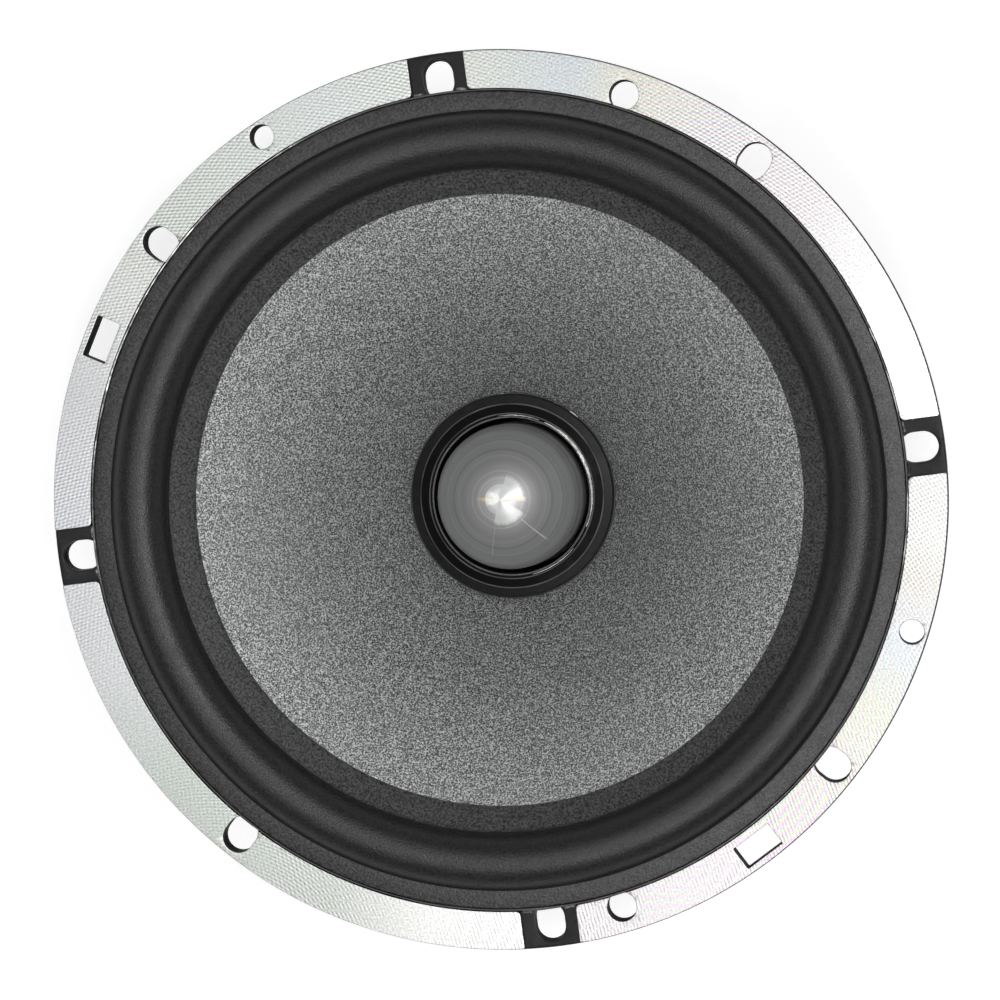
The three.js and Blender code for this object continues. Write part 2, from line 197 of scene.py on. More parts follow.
def heading(path, i):
    """The path's direction at its point i."""
    return (path[min(i + 1, len(path) - 1)] - path[max(i - 1, 0)]).normalized()


def framed(path):
    """Each point of a path with two directions square to it and to each other, turned as little as can be."""
    side, frames = Vector((0, 0, 1)), []
    for i, here in enumerate(path):
        ahead = heading(path, i)
        side = (side - ahead * side.dot(ahead)).normalized()
        frames.append((here, side.copy(), ahead.cross(side)))
    return frames


def tube(points, radius, sides=8):
    """Vertices and faces of a round tube through points, with closed ends."""
    verts = []
    for here, side, other in framed([Vector(p) for p in points]):
        for k in range(sides):
            a = TAU * k / sides
            verts.append(here + (side * cos(a) + other * sin(a)) * radius)
    return verts, capped_rows(len(points), sides)


def smooth_path(points, steps):
    """A Catmull-Rom curve through the points, steps to each gap."""
    full = [Vector(p) for p in points]
    full = [full[0] * 2 - full[1]] + full + [full[-1] * 2 - full[-2]]
    path = []
    for a, b, c, d in zip(full, full[1:], full[2:], full[3:]):
        for i in range(steps):
            t = i / steps
            path.append(0.5 * (2 * b + (c - a) * t + (2 * a - 5 * b + 4 * c - d) * t ** 2
                               + (3 * b - a - 3 * c + d) * t ** 3))
    return path + [full[-2]]


def merged(groups):
    verts, faces = [], []
    for more_verts, more_faces in groups:
        base = len(verts)
        verts += [tuple(v) for v in more_verts]
        faces += [tuple(base + i for i in face) for face in more_faces]
    return verts, faces


def modify(obj, kind, **settings):
    modifier = obj.modifiers.new(kind.lower(), kind)
    for key, value in settings.items():
        setattr(modifier, key, value)


def apply_modifiers(obj, sharp=32):
    """Bakes the modifiers into the mesh."""
    graph = bpy.context.evaluated_depsgraph_get()
    mesh = bpy.data.meshes.new_from_object(obj.evaluated_get(graph))
    obj.modifiers.clear()
    obj.data = mesh
    smooth(mesh, sharp)


def subtract(obj, verts, faces):
    cutter = mesh_object("cutter", verts, faces, obj.data.materials[0])
    modify(obj, "BOOLEAN", operation="DIFFERENCE", solver="EXACT", object=cutter)
    apply_modifiers(obj)
    bpy.data.objects.remove(cutter)


def inset(loop, distance):
    """The loop moved to its left by the distance, with long mitres held back."""
    moved = []
    count = len(loop)
    for i in range(count):
        here = Vector(loop[i])
        before = (here - Vector(loop[i - 1])).normalized()
        after = (Vector(loop[(i + 1) % count]) - here).normalized()
        left = Vector((-before.y, before.x))
        middle = left + Vector((-after.y, after.x))
        middle = middle.normalized() if middle.length > 0.1 else left
        moved.append(here + middle * (distance / max(middle.dot(left), 0.6)))
    return moved


def face_triangles(loops):
    """Triangles that fill the first loop less the others, as indices into their points."""
    points = [Vector(p) for loop in loops for p in loop]
    edges, start = [], 0
    for loop in loops:
        count = len(loop)
        edges += [(start + i, start + (i + 1) % count) for i in range(count)]
        start += count
    found, _, faces, sources, _, _ = geometry.delaunay_2d_cdt(points, edges, [], 1, 1e-7)
    origin = [source[0] if source else None for source in sources]

    def crossings(x, y):
        total = 0
        for i, j in edges:
            p, q = points[i], points[j]
            if (p.y > y) != (q.y > y) and x < p.x + (y - p.y) * (q.x - p.x) / (q.y - p.y):
                total += 1
        return total

    filled = []
    for face in faces:
        middle = sum((found[i] for i in face), Vector((0, 0))) / 3
        if crossings(middle.x, middle.y) % 2 and None not in [origin[i] for i in face]:
            filled.append(tuple(origin[i] for i in face))
    return filled


def plate(name, outline, holes, low, high, bevel, material):
    """A flat plate with rounded edges, its holes given as closed outlines."""
    loops = []
    for loop, clockwise in [(outline, False)] + [(hole, True) for hole in holes]:
        area = sum(a[0] * b[1] - b[0] * a[1] for a, b in zip(loop, loop[1:] + loop[:1]))
        loops.append(loop[::-1] if (area < 0) != clockwise else loop)
    corner = 1 - sqrt(0.5)
    levels = [(1, 0), (corner, corner), (0, 1)]
    rings = [(inward, low + up * bevel) for inward, up in levels]
    rings += [(inward, high - up * bevel) for inward, up in reversed(levels)]
    total = sum(len(loop) for loop in loops)
    verts, faces = [], []
    for inward, z in rings:
        for loop in loops:
            verts += [(p.x, p.y, z) for p in inset(loop, inward * bevel)]
    start = 0
    for loop in loops:
        count = len(loop)
        for level in range(len(rings) - 1):
            here, above = level * total + start, (level + 1) * total + start
            for i in range(count):
                j = (i + 1) % count
                faces.append((here + i, here + j, above + j, above + i))
        start += count
    for tri in face_triangles([inset(loop, bevel) for loop in loops]):
        faces.append(tri)
        top = (len(rings) - 1) * total
        faces.append(tuple(top + i for i in reversed(tri)))
    return mesh_object(name, verts, faces, material, 50)


def joined(name, objects):
    """One object holding the others' meshes and materials."""
    work = bmesh.new()
    materials = []
    for obj in objects:
        start = len(work.faces)
        work.from_mesh(obj.data)
        work.faces.ensure_lookup_table()
        places = []
        for material in obj.data.materials:
            if material not in materials:
                materials.append(material)
            places.append(materials.index(material))
        for face in work.faces[start:]:
            face.material_index = places[face.material_index]
    mesh = bpy.data.meshes.new(name)
    work.to_mesh(mesh)
    work.free()
    for material in materials:
        mesh.materials.append(material)
    for obj in objects:
        bpy.data.objects.remove(obj)
    smooth(mesh)
    return new_object(name, mesh)


def place(obj, body, slot, *nodes):
    """Gives a rigid piece its body and hides the nodes it replaces; large faces rule its shading. The slot is
    not used.
    """
    modify(obj, "WEIGHTED_NORMAL", keep_sharp=True)
    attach(obj, body)
    if nodes:
        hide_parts(*nodes)


# ---------------------------------------------------------------- materials

EVEN = (0.3, 0.7)  # the range that most of a noise's values lie in


def rgba(color):
    """The colour, or the grey if it is one number, with alpha."""
    return (*color, 1) if isinstance(color, tuple) else (color, color, color, 1)


def set_stops(node, stops):
    """Gives a colour ramp its stops, each (place, colour or grey)."""
    elements = node.color_ramp.elements
    while len(elements) < len(stops):
        elements.new(0.5)
    for element, (where, color) in zip(elements, stops):
        element.position = where
        element.color = rgba(color)


class Look:
    """A Principled material with short ways to add procedural detail."""

    def __init__(self, name, color, roughness, metallic=0.0, **sockets):
        self.material = bpy.data.materials.new(name)
        self.material.use_nodes = True
        self.tree = self.material.node_tree
        self.shader = self.tree.nodes["Principled BSDF"]
        self.set("Base Color", rgba(color))
        self.set("Roughness", roughness)
        self.set("Metallic", metallic)
        for socket, value in sockets.items():
            self.set(socket.replace("_", " "), value)
        self.position = self.add("ShaderNodeTexCoord").outputs["Object"]

    def set(self, socket, value):
        self.shader.inputs[socket].default_value = value

    def add(self, kind, **properties):
        made = self.tree.nodes.new(kind)
        for key, value in properties.items():
            setattr(made, key, value)
        return made

    def link(self, source, target):
        self.tree.links.new(source, target)

    def feed(self, sockets, values):
        """Links or sets each socket that has a value."""
        for socket, value in zip(sockets, values):
            if hasattr(value, "is_output"):
                self.link(value, socket)
            elif isinstance(value, tuple):
                socket.default_value = rgba(value)
            elif value is not None:
                socket.default_value = value

    def math(self, operation, a, b=None):
        made = self.add("ShaderNodeMath", operation=operation)
        self.feed(made.inputs, (a, b))
        return made.outputs[0]

    def plus(self, a, b):
        return self.math("ADD", a, b)

    def times(self, a, b):
        return self.math("MULTIPLY", a, b)

    def noise(self, scale, detail=2.0, rough=0.5, vector=None):
        made = self.add("ShaderNodeTexNoise")
        for socket, value in (("Scale", scale), ("Detail", detail), ("Roughness", rough)):
            made.inputs[socket].default_value = value
        self.link(vector or self.position, made.inputs["Vector"])
        return made.outputs["Fac"]

    def cells(self, scale):
        made = self.add("ShaderNodeTexVoronoi")
        made.inputs["Scale"].default_value = scale
        self.link(self.position, made.inputs["Vector"])
        return made.outputs["Distance"]

    def ramp(self, value, stops):
        """Maps a value to colours or greys."""
        made = self.add("ShaderNodeValToRGB")
        set_stops(made, stops)
        self.link(value, made.inputs["Fac"])
        return made.outputs["Color"]

    def spread(self, value, low, high, from_low=0.0, from_high=1.0, **properties):
        """Maps from_low..from_high to low..high, held at the ends."""
        made = self.add("ShaderNodeMapRange", **properties)
        sockets = [made.inputs[name] for name in ("Value", "From Min", "From Max", "To Min", "To Max")]
        self.feed(sockets, (value, from_low, from_high, low, high))
        return made.outputs["Result"]

    def mix(self, factor, a, b, blend="MIX"):
        made = self.add("ShaderNodeMix", data_type="RGBA", blend_type=blend)
        # a mix node has a set of sockets for each data type; these are the colour ones
        self.feed((made.inputs[0], made.inputs[6], made.inputs[7]), (factor, a, b))
        return made.outputs[2]

    def polar(self):
        """Radius from the axis in metres, and angle in radians, of the point."""
        split = self.add("ShaderNodeSeparateXYZ")
        self.link(self.position, split.inputs[0])
        x, y = split.outputs[0], split.outputs[1]
        squared = self.plus(self.times(x, x), self.times(y, y))
        return self.math("SQRT", squared), self.math("ARCTAN2", y, x), split.outputs[2]

    def vector(self, x, y=0.0, z=0.0):
        made = self.add("ShaderNodeCombineXYZ")
        self.feed(made.inputs, (x, y, z))
        return made.outputs[0]

    def near(self, value, centre, reach):
        """1 where the value is at the centre, falling to 0 at reach on either side."""
        away = self.math("ABSOLUTE", self.math("SUBTRACT", value, centre))
        return self.spread(away, 1.0, 0.0, 0.0, reach)

    def turn_part(self):
        """The point's angle round the axis as 0 to 1, from -180 to 180 degrees."""
        return self.plus(self.math("DIVIDE", self.polar()[1], TAU), 0.5)

    def round_ramp(self, stops):
        """Colours or greys by angle in degrees, from -180 to 180."""
        return self.ramp(self.turn_part(), [((a + 180) / 360, tone) for a, tone in stops])

    def rings(self, pitch):
        """A value that swings once for every pitch mm of radius."""
        return self.math("SINE", self.times(self.polar()[0], TAU / (pitch * MM)))

    def drive(self, socket, value):
        self.link(value, self.shader.inputs[socket])

    def color(self, value):
        self.drive("Base Color", value)

    def roughness(self, value, low, high):
        """Roughness from low to high over the range that the value mostly lies in."""
        self.drive("Roughness", self.spread(value, low, high, *EVEN))

    def bump(self, height, distance, strength=1.0):
        """Adds relief; distance is the height in mm of a full swing."""
        made = self.add("ShaderNodeBump")
        made.inputs["Strength"].default_value = strength
        made.inputs["Distance"].default_value = distance * MM
        self.link(height, made.inputs["Height"])
        normal = self.shader.inputs["Normal"]
        if normal.is_linked:
            self.link(normal.links[0].from_socket, made.inputs["Normal"])
        self.link(made.outputs["Normal"], normal)


def mottled(name, color, rough, metallic, tone, shades, gloss, span, reliefs, ends=EVEN, **sockets):
    """A plain material with mottled colour, roughness and relief.

    tone, gloss and each relief's first value are a noise's scale, detail and roughness; shades are the
    two colours, and span the two roughnesses, that the noise runs between.
    """
    look = Look(name, color, rough, metallic, **sockets)
    look.color(look.ramp(look.noise(*tone), list(zip(ends, shades))))
    look.roughness(look.noise(*gloss), *span)
    for relief, depth, strength in reliefs:
        look.bump(look.noise(*relief), depth, strength)
    return look.material


# Painted sheen and painted rainbow reflections on the bare land: how its colour's brightness and tint, and
# the amount of rainbow, change with the angle in degrees.
PAINTED_SHEEN = [(-180, (0.92, 0.93, 0.96)), (-155, (0.98, 1.0, 1.02)), (-138, (0.86, 0.92, 0.87)),
         (-112, (0.9, 0.94, 0.89)), (-99, (1.25, 1.25, 1.23)), (-84, 1.3),
         (-76, (1.05, 1.02, 1.04)), (-50, (1.04, 0.99, 1.04)), (-28, (0.92, 0.93, 0.84)),
         (-19, (0.86, 0.9, 0.95)), (-10, (0.9, 0.87, 0.83)), (-4, (1.0, 1.0, 0.98)), (4, (0.95, 0.95, 0.93)),
         (11, 1.4), (24, 1.38), (33, (1.08, 1.08, 1.09)), (44, (0.98, 0.94, 0.97)),
         (60, (0.96, 0.94, 0.97)), (72, (0.96, 0.95, 0.85)), (80, (0.84, 0.9, 0.94)),
         (94, (0.92, 0.95, 0.9)), (112, (0.9, 0.94, 0.93)), (138, (0.82, 0.86, 0.82)),
         (150, (0.92, 0.94, 0.92)), (166, (0.86, 0.87, 0.89)), (180, (0.92, 0.93, 0.96))]
PAINTED_RAINBOW = [(-180, 0.1), (-150, 0.22), (-135, 0.1), (-85, 0.05), (-70, 0.3), (-55, 0.35), (-50, 0.85),
           (-40, 0.7), (-32, 0.3), (-10, 0.15), (20, 0.03), (35, 0.2), (58, 0.3), (80, 0.2), (110, 0.12),
           (180, 0.1)]


def machined_land():
    """Bare aluminium with a face mill's arcs; its sheen and faint rainbows changing round the ring are
    painted into the colour as a painted sheen and painted rainbow reflections.
    """
    look = Look("machined_land", (0.5, 0.5, 0.5), 0.4, 1.0)

    def arcs_round(x, y, pitch):
        shifted = look.add("ShaderNodeVectorMath", operation="DISTANCE")
        look.link(look.position, shifted.inputs[0])
        shifted.inputs[1].default_value = (x * MM, y * MM, FLANGE_FRONT * MM)
        return look.times(shifted.outputs["Value"], TAU / (pitch * MM))

    sweep = look.math("SINE", arcs_round(-52, -92, 0.62))
    back_sweep = look.math("SINE", arcs_round(96, -38, 0.74))
    grain = look.noise(2600, 3, 0.75)
    patches = look.spread(look.noise(38, 2), 0.15, 1.0, 0.35, 0.65)
    marks = look.times(look.plus(look.times(sweep, 0.6), look.times(back_sweep, 0.4)), patches)
    level = look.plus(look.times(marks, 0.24), grain)
    tone = look.ramp(level, [(0.25, 0.24), (0.5, 0.47), (0.75, 0.72)])
    # painted sheen: the colour is made brighter or duller round the ring, as light would catch the land
    sheen = look.round_ramp(PAINTED_SHEEN)
    toned = look.mix(1.0, tone, sheen, "MULTIPLY")
    # painted rainbow reflection: a rainbow tint laid into the colour along arcs, more at some angles
    hue = look.math("FRACT", look.math("DIVIDE", arcs_round(30, -33, 1.7), TAU))
    rainbow = look.ramp(hue, [(0.0, (1.0, 0.72, 1.0)), (0.35, (0.74, 1.0, 0.8)),
                              (0.7, (1.0, 0.95, 0.75)), (1.0, (1.0, 0.72, 1.0))])
    painted_rainbow_amount = look.round_ramp(PAINTED_RAINBOW)
    look.color(look.mix(painted_rainbow_amount, toned, look.mix(1.0, toned, rainbow, "MULTIPLY")))
    look.roughness(grain, 0.34, 0.5)
    look.bump(marks, 0.004, 0.5)
    look.bump(grain, 0.012, 0.5)
    return look.material


def rubber():
    """Fine-grained black rubber; its two flat landings are painted paler than the roll between them, a
    painted highlight where they face the light.
    """
    look = Look("surround_rubber", (0.008, 0.008, 0.009), 0.45, Specular_IOR_Level=0.42)
    radius = look.polar()[0]
    grain = look.noise(2300, 2, 0.7)
    # the two landing tones are painted light: paler colour on the flat landings, as if catching the overhead
    # light
    skin, outer_landing_painted_light, inner_landing_painted_light = [
        look.ramp(grain, [(0.36, dark), (0.64, pale)]) for dark, pale in (
            ((0.0, 0.0, 0.0005), (0.011, 0.011, 0.0115)), ((0.0, 0.0, 0.0005), (0.042, 0.042, 0.043)),
            ((0.0, 0.0, 0.001), (0.07, 0.07, 0.073)))]
    outside = look.spread(radius, 0.0, 1.0, (ROLL_OUTER_R - 0.4) * MM, (ROLL_OUTER_R + 0.2) * MM)
    with_outer_painted_light = look.mix(outside, skin, outer_landing_painted_light)
    inside = look.spread(radius, 1.0, 0.0, (ROLL_INNER_R - 0.6) * MM, (ROLL_INNER_R + 0.4) * MM)
    look.color(look.mix(inside, with_outer_painted_light, inner_landing_painted_light))
    look.roughness(look.noise(300, 3), 0.31, 0.4)
    look.bump(grain, 0.09, 0.8)
    look.bump(look.noise(70, 2), 0.15, 0.3)
    return look.material


def cone_skin():
    """A metallic skin of bright flecks about 0.3 mm across on mid grey, paler towards the rim: painted light
    at the rim, painted shade deeper in the cone.
    """
    look = Look("cone_skin", (0.2, 0.21, 0.21), 0.45, 0.7)
    flecks = look.noise(2900, 3, 0.8)
    fine = look.cells(3400)
    mixed = look.plus(look.times(flecks, 0.8), look.times(fine, 0.3))
    tone = look.ramp(mixed, [(0.37, (0.012, 0.014, 0.014)), (0.52, (0.105, 0.111, 0.11)),
                             (0.67, (0.57, 0.58, 0.57))])
    drift = look.noise(22, 2)
    soft = look.mix(look.spread(drift, 0.0, 0.2, 0.35, 0.65), tone, (0.17, 0.18, 0.175))
    radius = look.polar()[0]
    # painted light and shade: the colour is made paler towards the rim and stays darker towards the throat
    paler = look.spread(radius, 1.0, 1.3, 0.034, 0.057)
    look.color(look.mix(1.0, soft, look.vector(paler, paler, paler), "MULTIPLY"))
    look.roughness(flecks, 0.32, 0.6)
    look.bump(flecks, 0.12, 0.8)
    look.bump(fine, 0.05, 0.4)
    return look.material


def neck_plastic():
    """Satin black, with pale lines along the edges of its two steps: a painted highlight, broken up by noise.
    """
    look = Look("neck_plastic", (0.008, 0.008, 0.009), 0.34, Specular_IOR_Level=0.2)
    grain = look.noise(1300, 2, 0.6)
    radius = look.polar()[0]
    plain = look.ramp(grain, [(0.3, (0.004, 0.004, 0.005)), (0.7, (0.01, 0.01, 0.011))])
    inner = look.spread(radius, 0.0, 1.0, (RING_STEP_R - 0.15) * MM, (RING_STEP_R + 0.15) * MM)
    banded = look.mix(inner, (0.002, 0.002, 0.0025), plain)
    step = look.near(radius, (RING_STEP_R - 0.03) * MM, 0.18 * MM)
    lip = look.near(radius, (RING_LIP_R - 0.06) * MM, 0.16 * MM)
    edges = look.math("MAXIMUM", step, lip)
    # painted highlight: pale colour along the step and lip edges
    painted_edge_highlight = look.times(edges, look.spread(look.noise(160, 3), 0.35, 1.0, 0.35, 0.65))
    look.color(look.mix(painted_edge_highlight, banded, (0.2, 0.2, 0.2)))
    look.drive("Specular IOR Level", look.spread(inner, 0.05, 0.2))
    look.roughness(look.noise(500, 2), 0.3, 0.44)
    look.bump(look.rings(0.25), 0.004, 0.5)
    look.bump(grain, 0.02, 0.4)
    return look.material


# Painted highlights at the plug's tip: how far the bright patches reach (cm), and where a gold painted
# reflection lies, by angle.
PAINTED_HIGHLIGHT_REACH = [(-180, 0.29), (-160, 0.27), (-140, 0.16), (-110, 0.16), (-106, 0.47), (-70, 0.5), (-30, 0.5),
               (-27, 0.2), (-7, 0.2), (-3, 0.46), (5, 0.46), (9, 0.4), (40, 0.44), (76, 0.47), (82, 0.2),
               (130, 0.18), (150, 0.28), (180, 0.29)]
PAINTED_GOLD_STREAK = [(-180, 0.8), (-173, 0.0), (-4, 0.0), (1, 0.7), (4, 0.9), (9, 0.0), (172, 0.0), (176, 0.6), (180, 0.8)]


def turned_aluminium():
    """Fine-turned aluminium. Near the tip, flat, brighter patches and two scratches are painted highlights,
    and a gold streak is a painted reflection, all in the colour; the patches also raise the anisotropy, and
    the scratches lower the roughness.
    """
    look = Look("turned_aluminium", (0.5, 0.5, 0.5), 0.42, 1.0)
    tangent = look.add("ShaderNodeTangent", direction_type="RADIAL", axis="Z")
    look.drive("Tangent", tangent.outputs[0])
    radius = look.polar()[0]
    part = look.turn_part()
    bands = look.noise(2100, 3, 0.7, look.vector(radius))
    wide = look.noise(700, 2, 0.5, look.vector(radius))
    both = look.plus(look.times(bands, 0.6), look.times(wide, 0.4))
    turned = look.ramp(both, [(0.34, 0.32), (0.66, (0.58, 0.58, 0.585))])
    streaks = look.noise(26, 3, 0.6, look.vector(look.times(part, 3.0)))
    reach = look.plus(look.round_ramp(PAINTED_HIGHLIGHT_REACH), look.spread(streaks, -0.05, 0.05, *EVEN))
    edge = look.math("SUBTRACT", reach, look.times(radius, 100))
    # painted highlight: inside these patches the colour is made brighter
    painted_highlight_patch = look.spread(look.plus(edge, look.spread(bands, -0.04, 0.04, *EVEN)), 0.0, 1.0, -0.03, 0.05)
    toned = look.mix(painted_highlight_patch, turned, look.mix(0.65, turned, (0.72, 0.74, 0.72)))
    # painted reflection: a gold streak across the tip
    painted_gold_mask = look.times(look.round_ramp(PAINTED_GOLD_STREAK), look.spread(radius, 1.0, 0.0, 0.0034, 0.0048))
    with_painted_gold = look.mix(look.times(painted_gold_mask, 0.7), toned, (1.0, 0.74, 0.36))
    reached = look.times(look.spread(radius, 0.0, 1.0, 0.0046, 0.0056),
                         look.spread(radius, 1.0, 0.0, 0.0104, 0.0114))
    # painted glint: two radial scratches made bright in colour, with lower roughness
    faint = look.times(look.near(part, 0.5 - 102 / 360, 0.0026), 0.45)
    scratch_and_painted_glint = look.times(look.math("MAXIMUM", look.near(part, 0.5 - 43.5 / 360, 0.004), faint), reached)
    look.color(look.mix(scratch_and_painted_glint, with_painted_gold, (1.0, 0.97, 0.88)))
    look.drive("Anisotropic", look.spread(painted_highlight_patch, 0.3, 0.9))
    look.set("Anisotropic Rotation", 0.25)
    rough = look.math("SUBTRACT", look.spread(bands, 0.38, 0.5, *EVEN), look.times(scratch_and_painted_glint, 0.15))
    look.drive("Roughness", rough)
    look.bump(bands, 0.012, 0.5)
    return look.material


def copper_wire():
    look = Look("copper_wire", (0.6, 0.24, 0.11), 0.3, 1.0)
    height = look.polar()[2]
    turns = look.math("SINE", look.times(height, TAU / 0.00035))
    look.color(look.ramp(turns, [(0.2, (0.3, 0.1, 0.05)), (0.8, (0.68, 0.3, 0.15))]))
    look.roughness(look.noise(900, 2), 0.22, 0.4)
    look.bump(turns, 0.1, 0.8)
    return look.material


def spider_cloth():
    """Resin-stiffened cotton: a fine square weave."""
    look = Look("spider_cloth", (0.42, 0.29, 0.13), 0.8, Sheen_Weight=0.25)
    split = look.add("ShaderNodeSeparateXYZ")
    look.link(look.position, split.inputs[0])
    pitch = TAU / 0.00085
    warp = look.math("SINE", look.times(split.outputs[0], pitch))
    weft = look.math("SINE", look.times(split.outputs[1], pitch))
    weave = look.times(warp, weft)
    tone = look.ramp(weave, [(0.0, (0.24, 0.15, 0.06)), (0.55, (0.46, 0.31, 0.14)),
                             (1.0, (0.58, 0.41, 0.2))])
    look.color(look.mix(look.spread(look.noise(80, 3), 0.0, 0.35, 0.35, 0.65), tone, (0.3, 0.19, 0.08)))
    look.roughness(look.noise(600, 2), 0.7, 0.92)
    look.bump(weave, 0.12, 0.8)
    return look.material


def ferrite():
    look = Look("ferrite", (0.05, 0.05, 0.054), 0.62, Specular_IOR_Level=0.35)
    grain = look.noise(1400, 4, 0.7)
    ground = look.noise(170, 4, 0.65)
    tone = look.ramp(grain, [(0.3, (0.035, 0.035, 0.038)), (0.7, (0.075, 0.075, 0.08))])
    look.color(look.mix(look.spread(ground, 0.0, 0.6, 0.4, 0.7), tone, (0.095, 0.095, 0.1)))
    look.roughness(grain, 0.5, 0.75)
    look.bump(grain, 0.05, 0.5)
    look.bump(ground, 0.06, 0.4)
    return look.material


def black_steel():
    look = Look("black_steel", (0.03, 0.03, 0.032), 0.38, 0.35, Specular_IOR_Level=0.5)
    tone = look.noise(140, 4, 0.6)
    look.color(look.ramp(tone, [(0.3, (0.02, 0.02, 0.022)), (0.7, (0.045, 0.045, 0.048))]))
    look.roughness(look.noise(600, 3), 0.28, 0.48)
    look.bump(look.rings(0.35), 0.006, 0.6)
    look.bump(look.noise(700, 3), 0.03, 0.4)
    return look.material


PAINT = mottled("black_paint", (0.01, 0.01, 0.011), 0.32, 0,
                (120, 4, 0.6), ((0.005, 0.005, 0.006), (0.014, 0.014, 0.015)), (420, 3), (0.24, 0.42),
                [((900, 3, 0.55), 0.05, 0.6), ((180, 2), 0.12, 0.4)], Specular_IOR_Level=0.16)
# Thin dull paint on the walls of the holes, and a painted glint: pale grey, metal-like colour along an edge
# where it would catch the light.
HOLE_WALL = mottled("hole_paint", 0.004, 0.7, 0, (700, 3), (0.002, 0.008), (500, 2), (0.6, 0.8),
                    [((800, 2), 0.03, 0.5)], Specular_IOR_Level=0.06)
PAINTED_EDGE_GLINT = mottled("ridge_painted_glint", 0.2, 0.3, 0.6, (800, 3, 0.6), (0.03, 0.34), (600, 2), (0.22, 0.4),
                 [((900, 3), 0.03, 0.5)], ends=(0.42, 0.62))
GLUE = mottled("glossy_glue", 0.006, 0.12, 0, (260, 3), (0.003, 0.01), (700, 3), (0.07, 0.24),
               [((420, 3), 0.1, 0.5)], Specular_IOR_Level=0.9)
# Glossy glue coloured whitish: a painted glint where the runs would catch the light.
GLUE_PAINTED_GLINT = mottled("whitish_glue_painted_glint", (0.5, 0.5, 0.49), 0.15, 0,
                    (500, 3), ((0.35, 0.35, 0.34), (0.85, 0.85, 0.82)), (700, 3), (0.1, 0.25),
                    [((420, 3), 0.05, 0.4)], ends=(0.35, 0.6), Specular_IOR_Level=1.0)
FILM = mottled("former_film", (0.03, 0.028, 0.026), 0.3, 0,
               (300, 3), (0.016, (0.05, 0.045, 0.04)), (800, 3), (0.16, 0.4),
               [((500, 3), 0.08, 0.5)], Specular_IOR_Level=0.5)
ZINC = mottled("zinc_plate", (0.62, 0.63, 0.64), 0.34, 1,
               (700, 3, 0.6), ((0.48, 0.49, 0.5), 0.72), (1500, 2), (0.25, 0.45),
               [((1800, 2), 0.01, 0.5)])
BRASS = mottled("terminal_brass", (0.78, 0.6, 0.3), 0.26, 1,
                (260, 3, 0.6), ((0.66, 0.48, 0.22), (0.85, 0.68, 0.37)), (900, 2), (0.18, 0.36),
                [((1500, 2), 0.012, 0.5)])
BOARD = mottled("board_laminate", (0.05, 0.032, 0.02), 0.5, 0,
                (900, 4, 0.7), ((0.03, 0.02, 0.014), (0.085, 0.055, 0.034)), (900, 4, 0.7), (0.4, 0.62),
                [((900, 4, 0.7), 0.03, 0.5)])
TINSEL = mottled("tinsel_braid", (0.62, 0.33, 0.17), 0.38, 0.85,
                 (2200, 3, 0.7), ((0.36, 0.16, 0.07), (0.75, 0.45, 0.26)), (2200, 3, 0.7), (0.28, 0.5),
                 [((2200, 3, 0.7), 0.03, 0.6)])
SOLDER = mottled("solder", 0.66, 0.22, 1, (900, 3, 0.6), (0.5, 0.78), (700, 2), (0.14, 0.34),
                 [((600, 2), 0.06, 0.5)])
LAND = machined_land()
RUBBER = rubber()
CONE_SKIN = cone_skin()
NECK = neck_plastic()
TURNED = turned_aluminium()
COPPER = copper_wire()
CLOTH = spider_cloth()
FERRITE = ferrite()
STEEL = black_steel()


# ---------------------------------------------------------------- the flange

POCKET_WIDTH = 10.3
POCKET_FLOOR_Z = FLANGE_FRONT - 1.0
LONG_HOLE_R, LONG_HOLE_LENGTH = 77.8, 7.0
POCKET_HOLE_WIDTH, EDGE_HOLE_WIDTH = 5.5, 5.8
PLAIN_HOLES = [(72.2, 77.6, 5.4), (287.7, 77.6, 5.4), (122.7, 79.4, 4.5), (343.1, 79.4, 4.5)]
CLIP_SLOTS = [(157.9, 78.9), (307.8, 78.9)]
CLIP_RADIAL, CLIP_WIDE = 4.5, 7.9


def circle(radius, sides, cx=0.0, cy=0.0):
    return arc(cx, cy, radius, 0, 360 - 360 / sides, sides - 1)


def hole_outline(angle, radius, width, length=None):
    """A round hole, or one that is long along the radius."""
    straight = ((length or width) - width) / 2
    half = width / 2
    outline = arc(radius + straight, 0, half, -90, 90, 16)
    outline += arc(radius - straight, 0, half, 90, 270, 16)[slice(None) if straight else slice(1, -1)]
    return turn(outline, angle)


def clip_slot(angle, radius):
    deep, half = CLIP_RADIAL / 2, CLIP_WIDE / 2
    corners = mirrored([(radius - deep, -half, 0.25), (radius + deep, -half, 0.25)])
    return turn(filleted(corners, 3), angle)


def flange_holes():
    """Every hole's angle, radius, width and length."""
    holes = [(PATTERN + 90 * i, LONG_HOLE_R, POCKET_HOLE_WIDTH, LONG_HOLE_LENGTH) for i in range(4)]
    holes += [(PATTERN + 45 + 90 * i, LONG_HOLE_R, EDGE_HOLE_WIDTH, LONG_HOLE_LENGTH) for i in range(4)]
    return holes + [(angle, radius, diameter, diameter) for angle, radius, diameter in PLAIN_HOLES]


def base_plate():
    """The painted part of the flange, up to the floor of the pockets."""
    holes = [circle(FLANGE_BORE_R, 240)]
    holes += [hole_outline(*hole) for hole in flange_holes()]
    holes += [clip_slot(*clip) for clip in CLIP_SLOTS]
    return plate("flange_base", circle(FLANGE_R, 300), holes, FLANGE_REAR, POCKET_FLOOR_Z, 0.4, PAINT)


def dull_walls(obj):
    """Gives the upright faces the dull paint."""
    obj.data.materials.append(HOLE_WALL)
    for face in obj.data.polygons:
        if abs(face.normal.z) < 0.3:
            face.material_index = len(obj.data.materials) - 1
    return obj


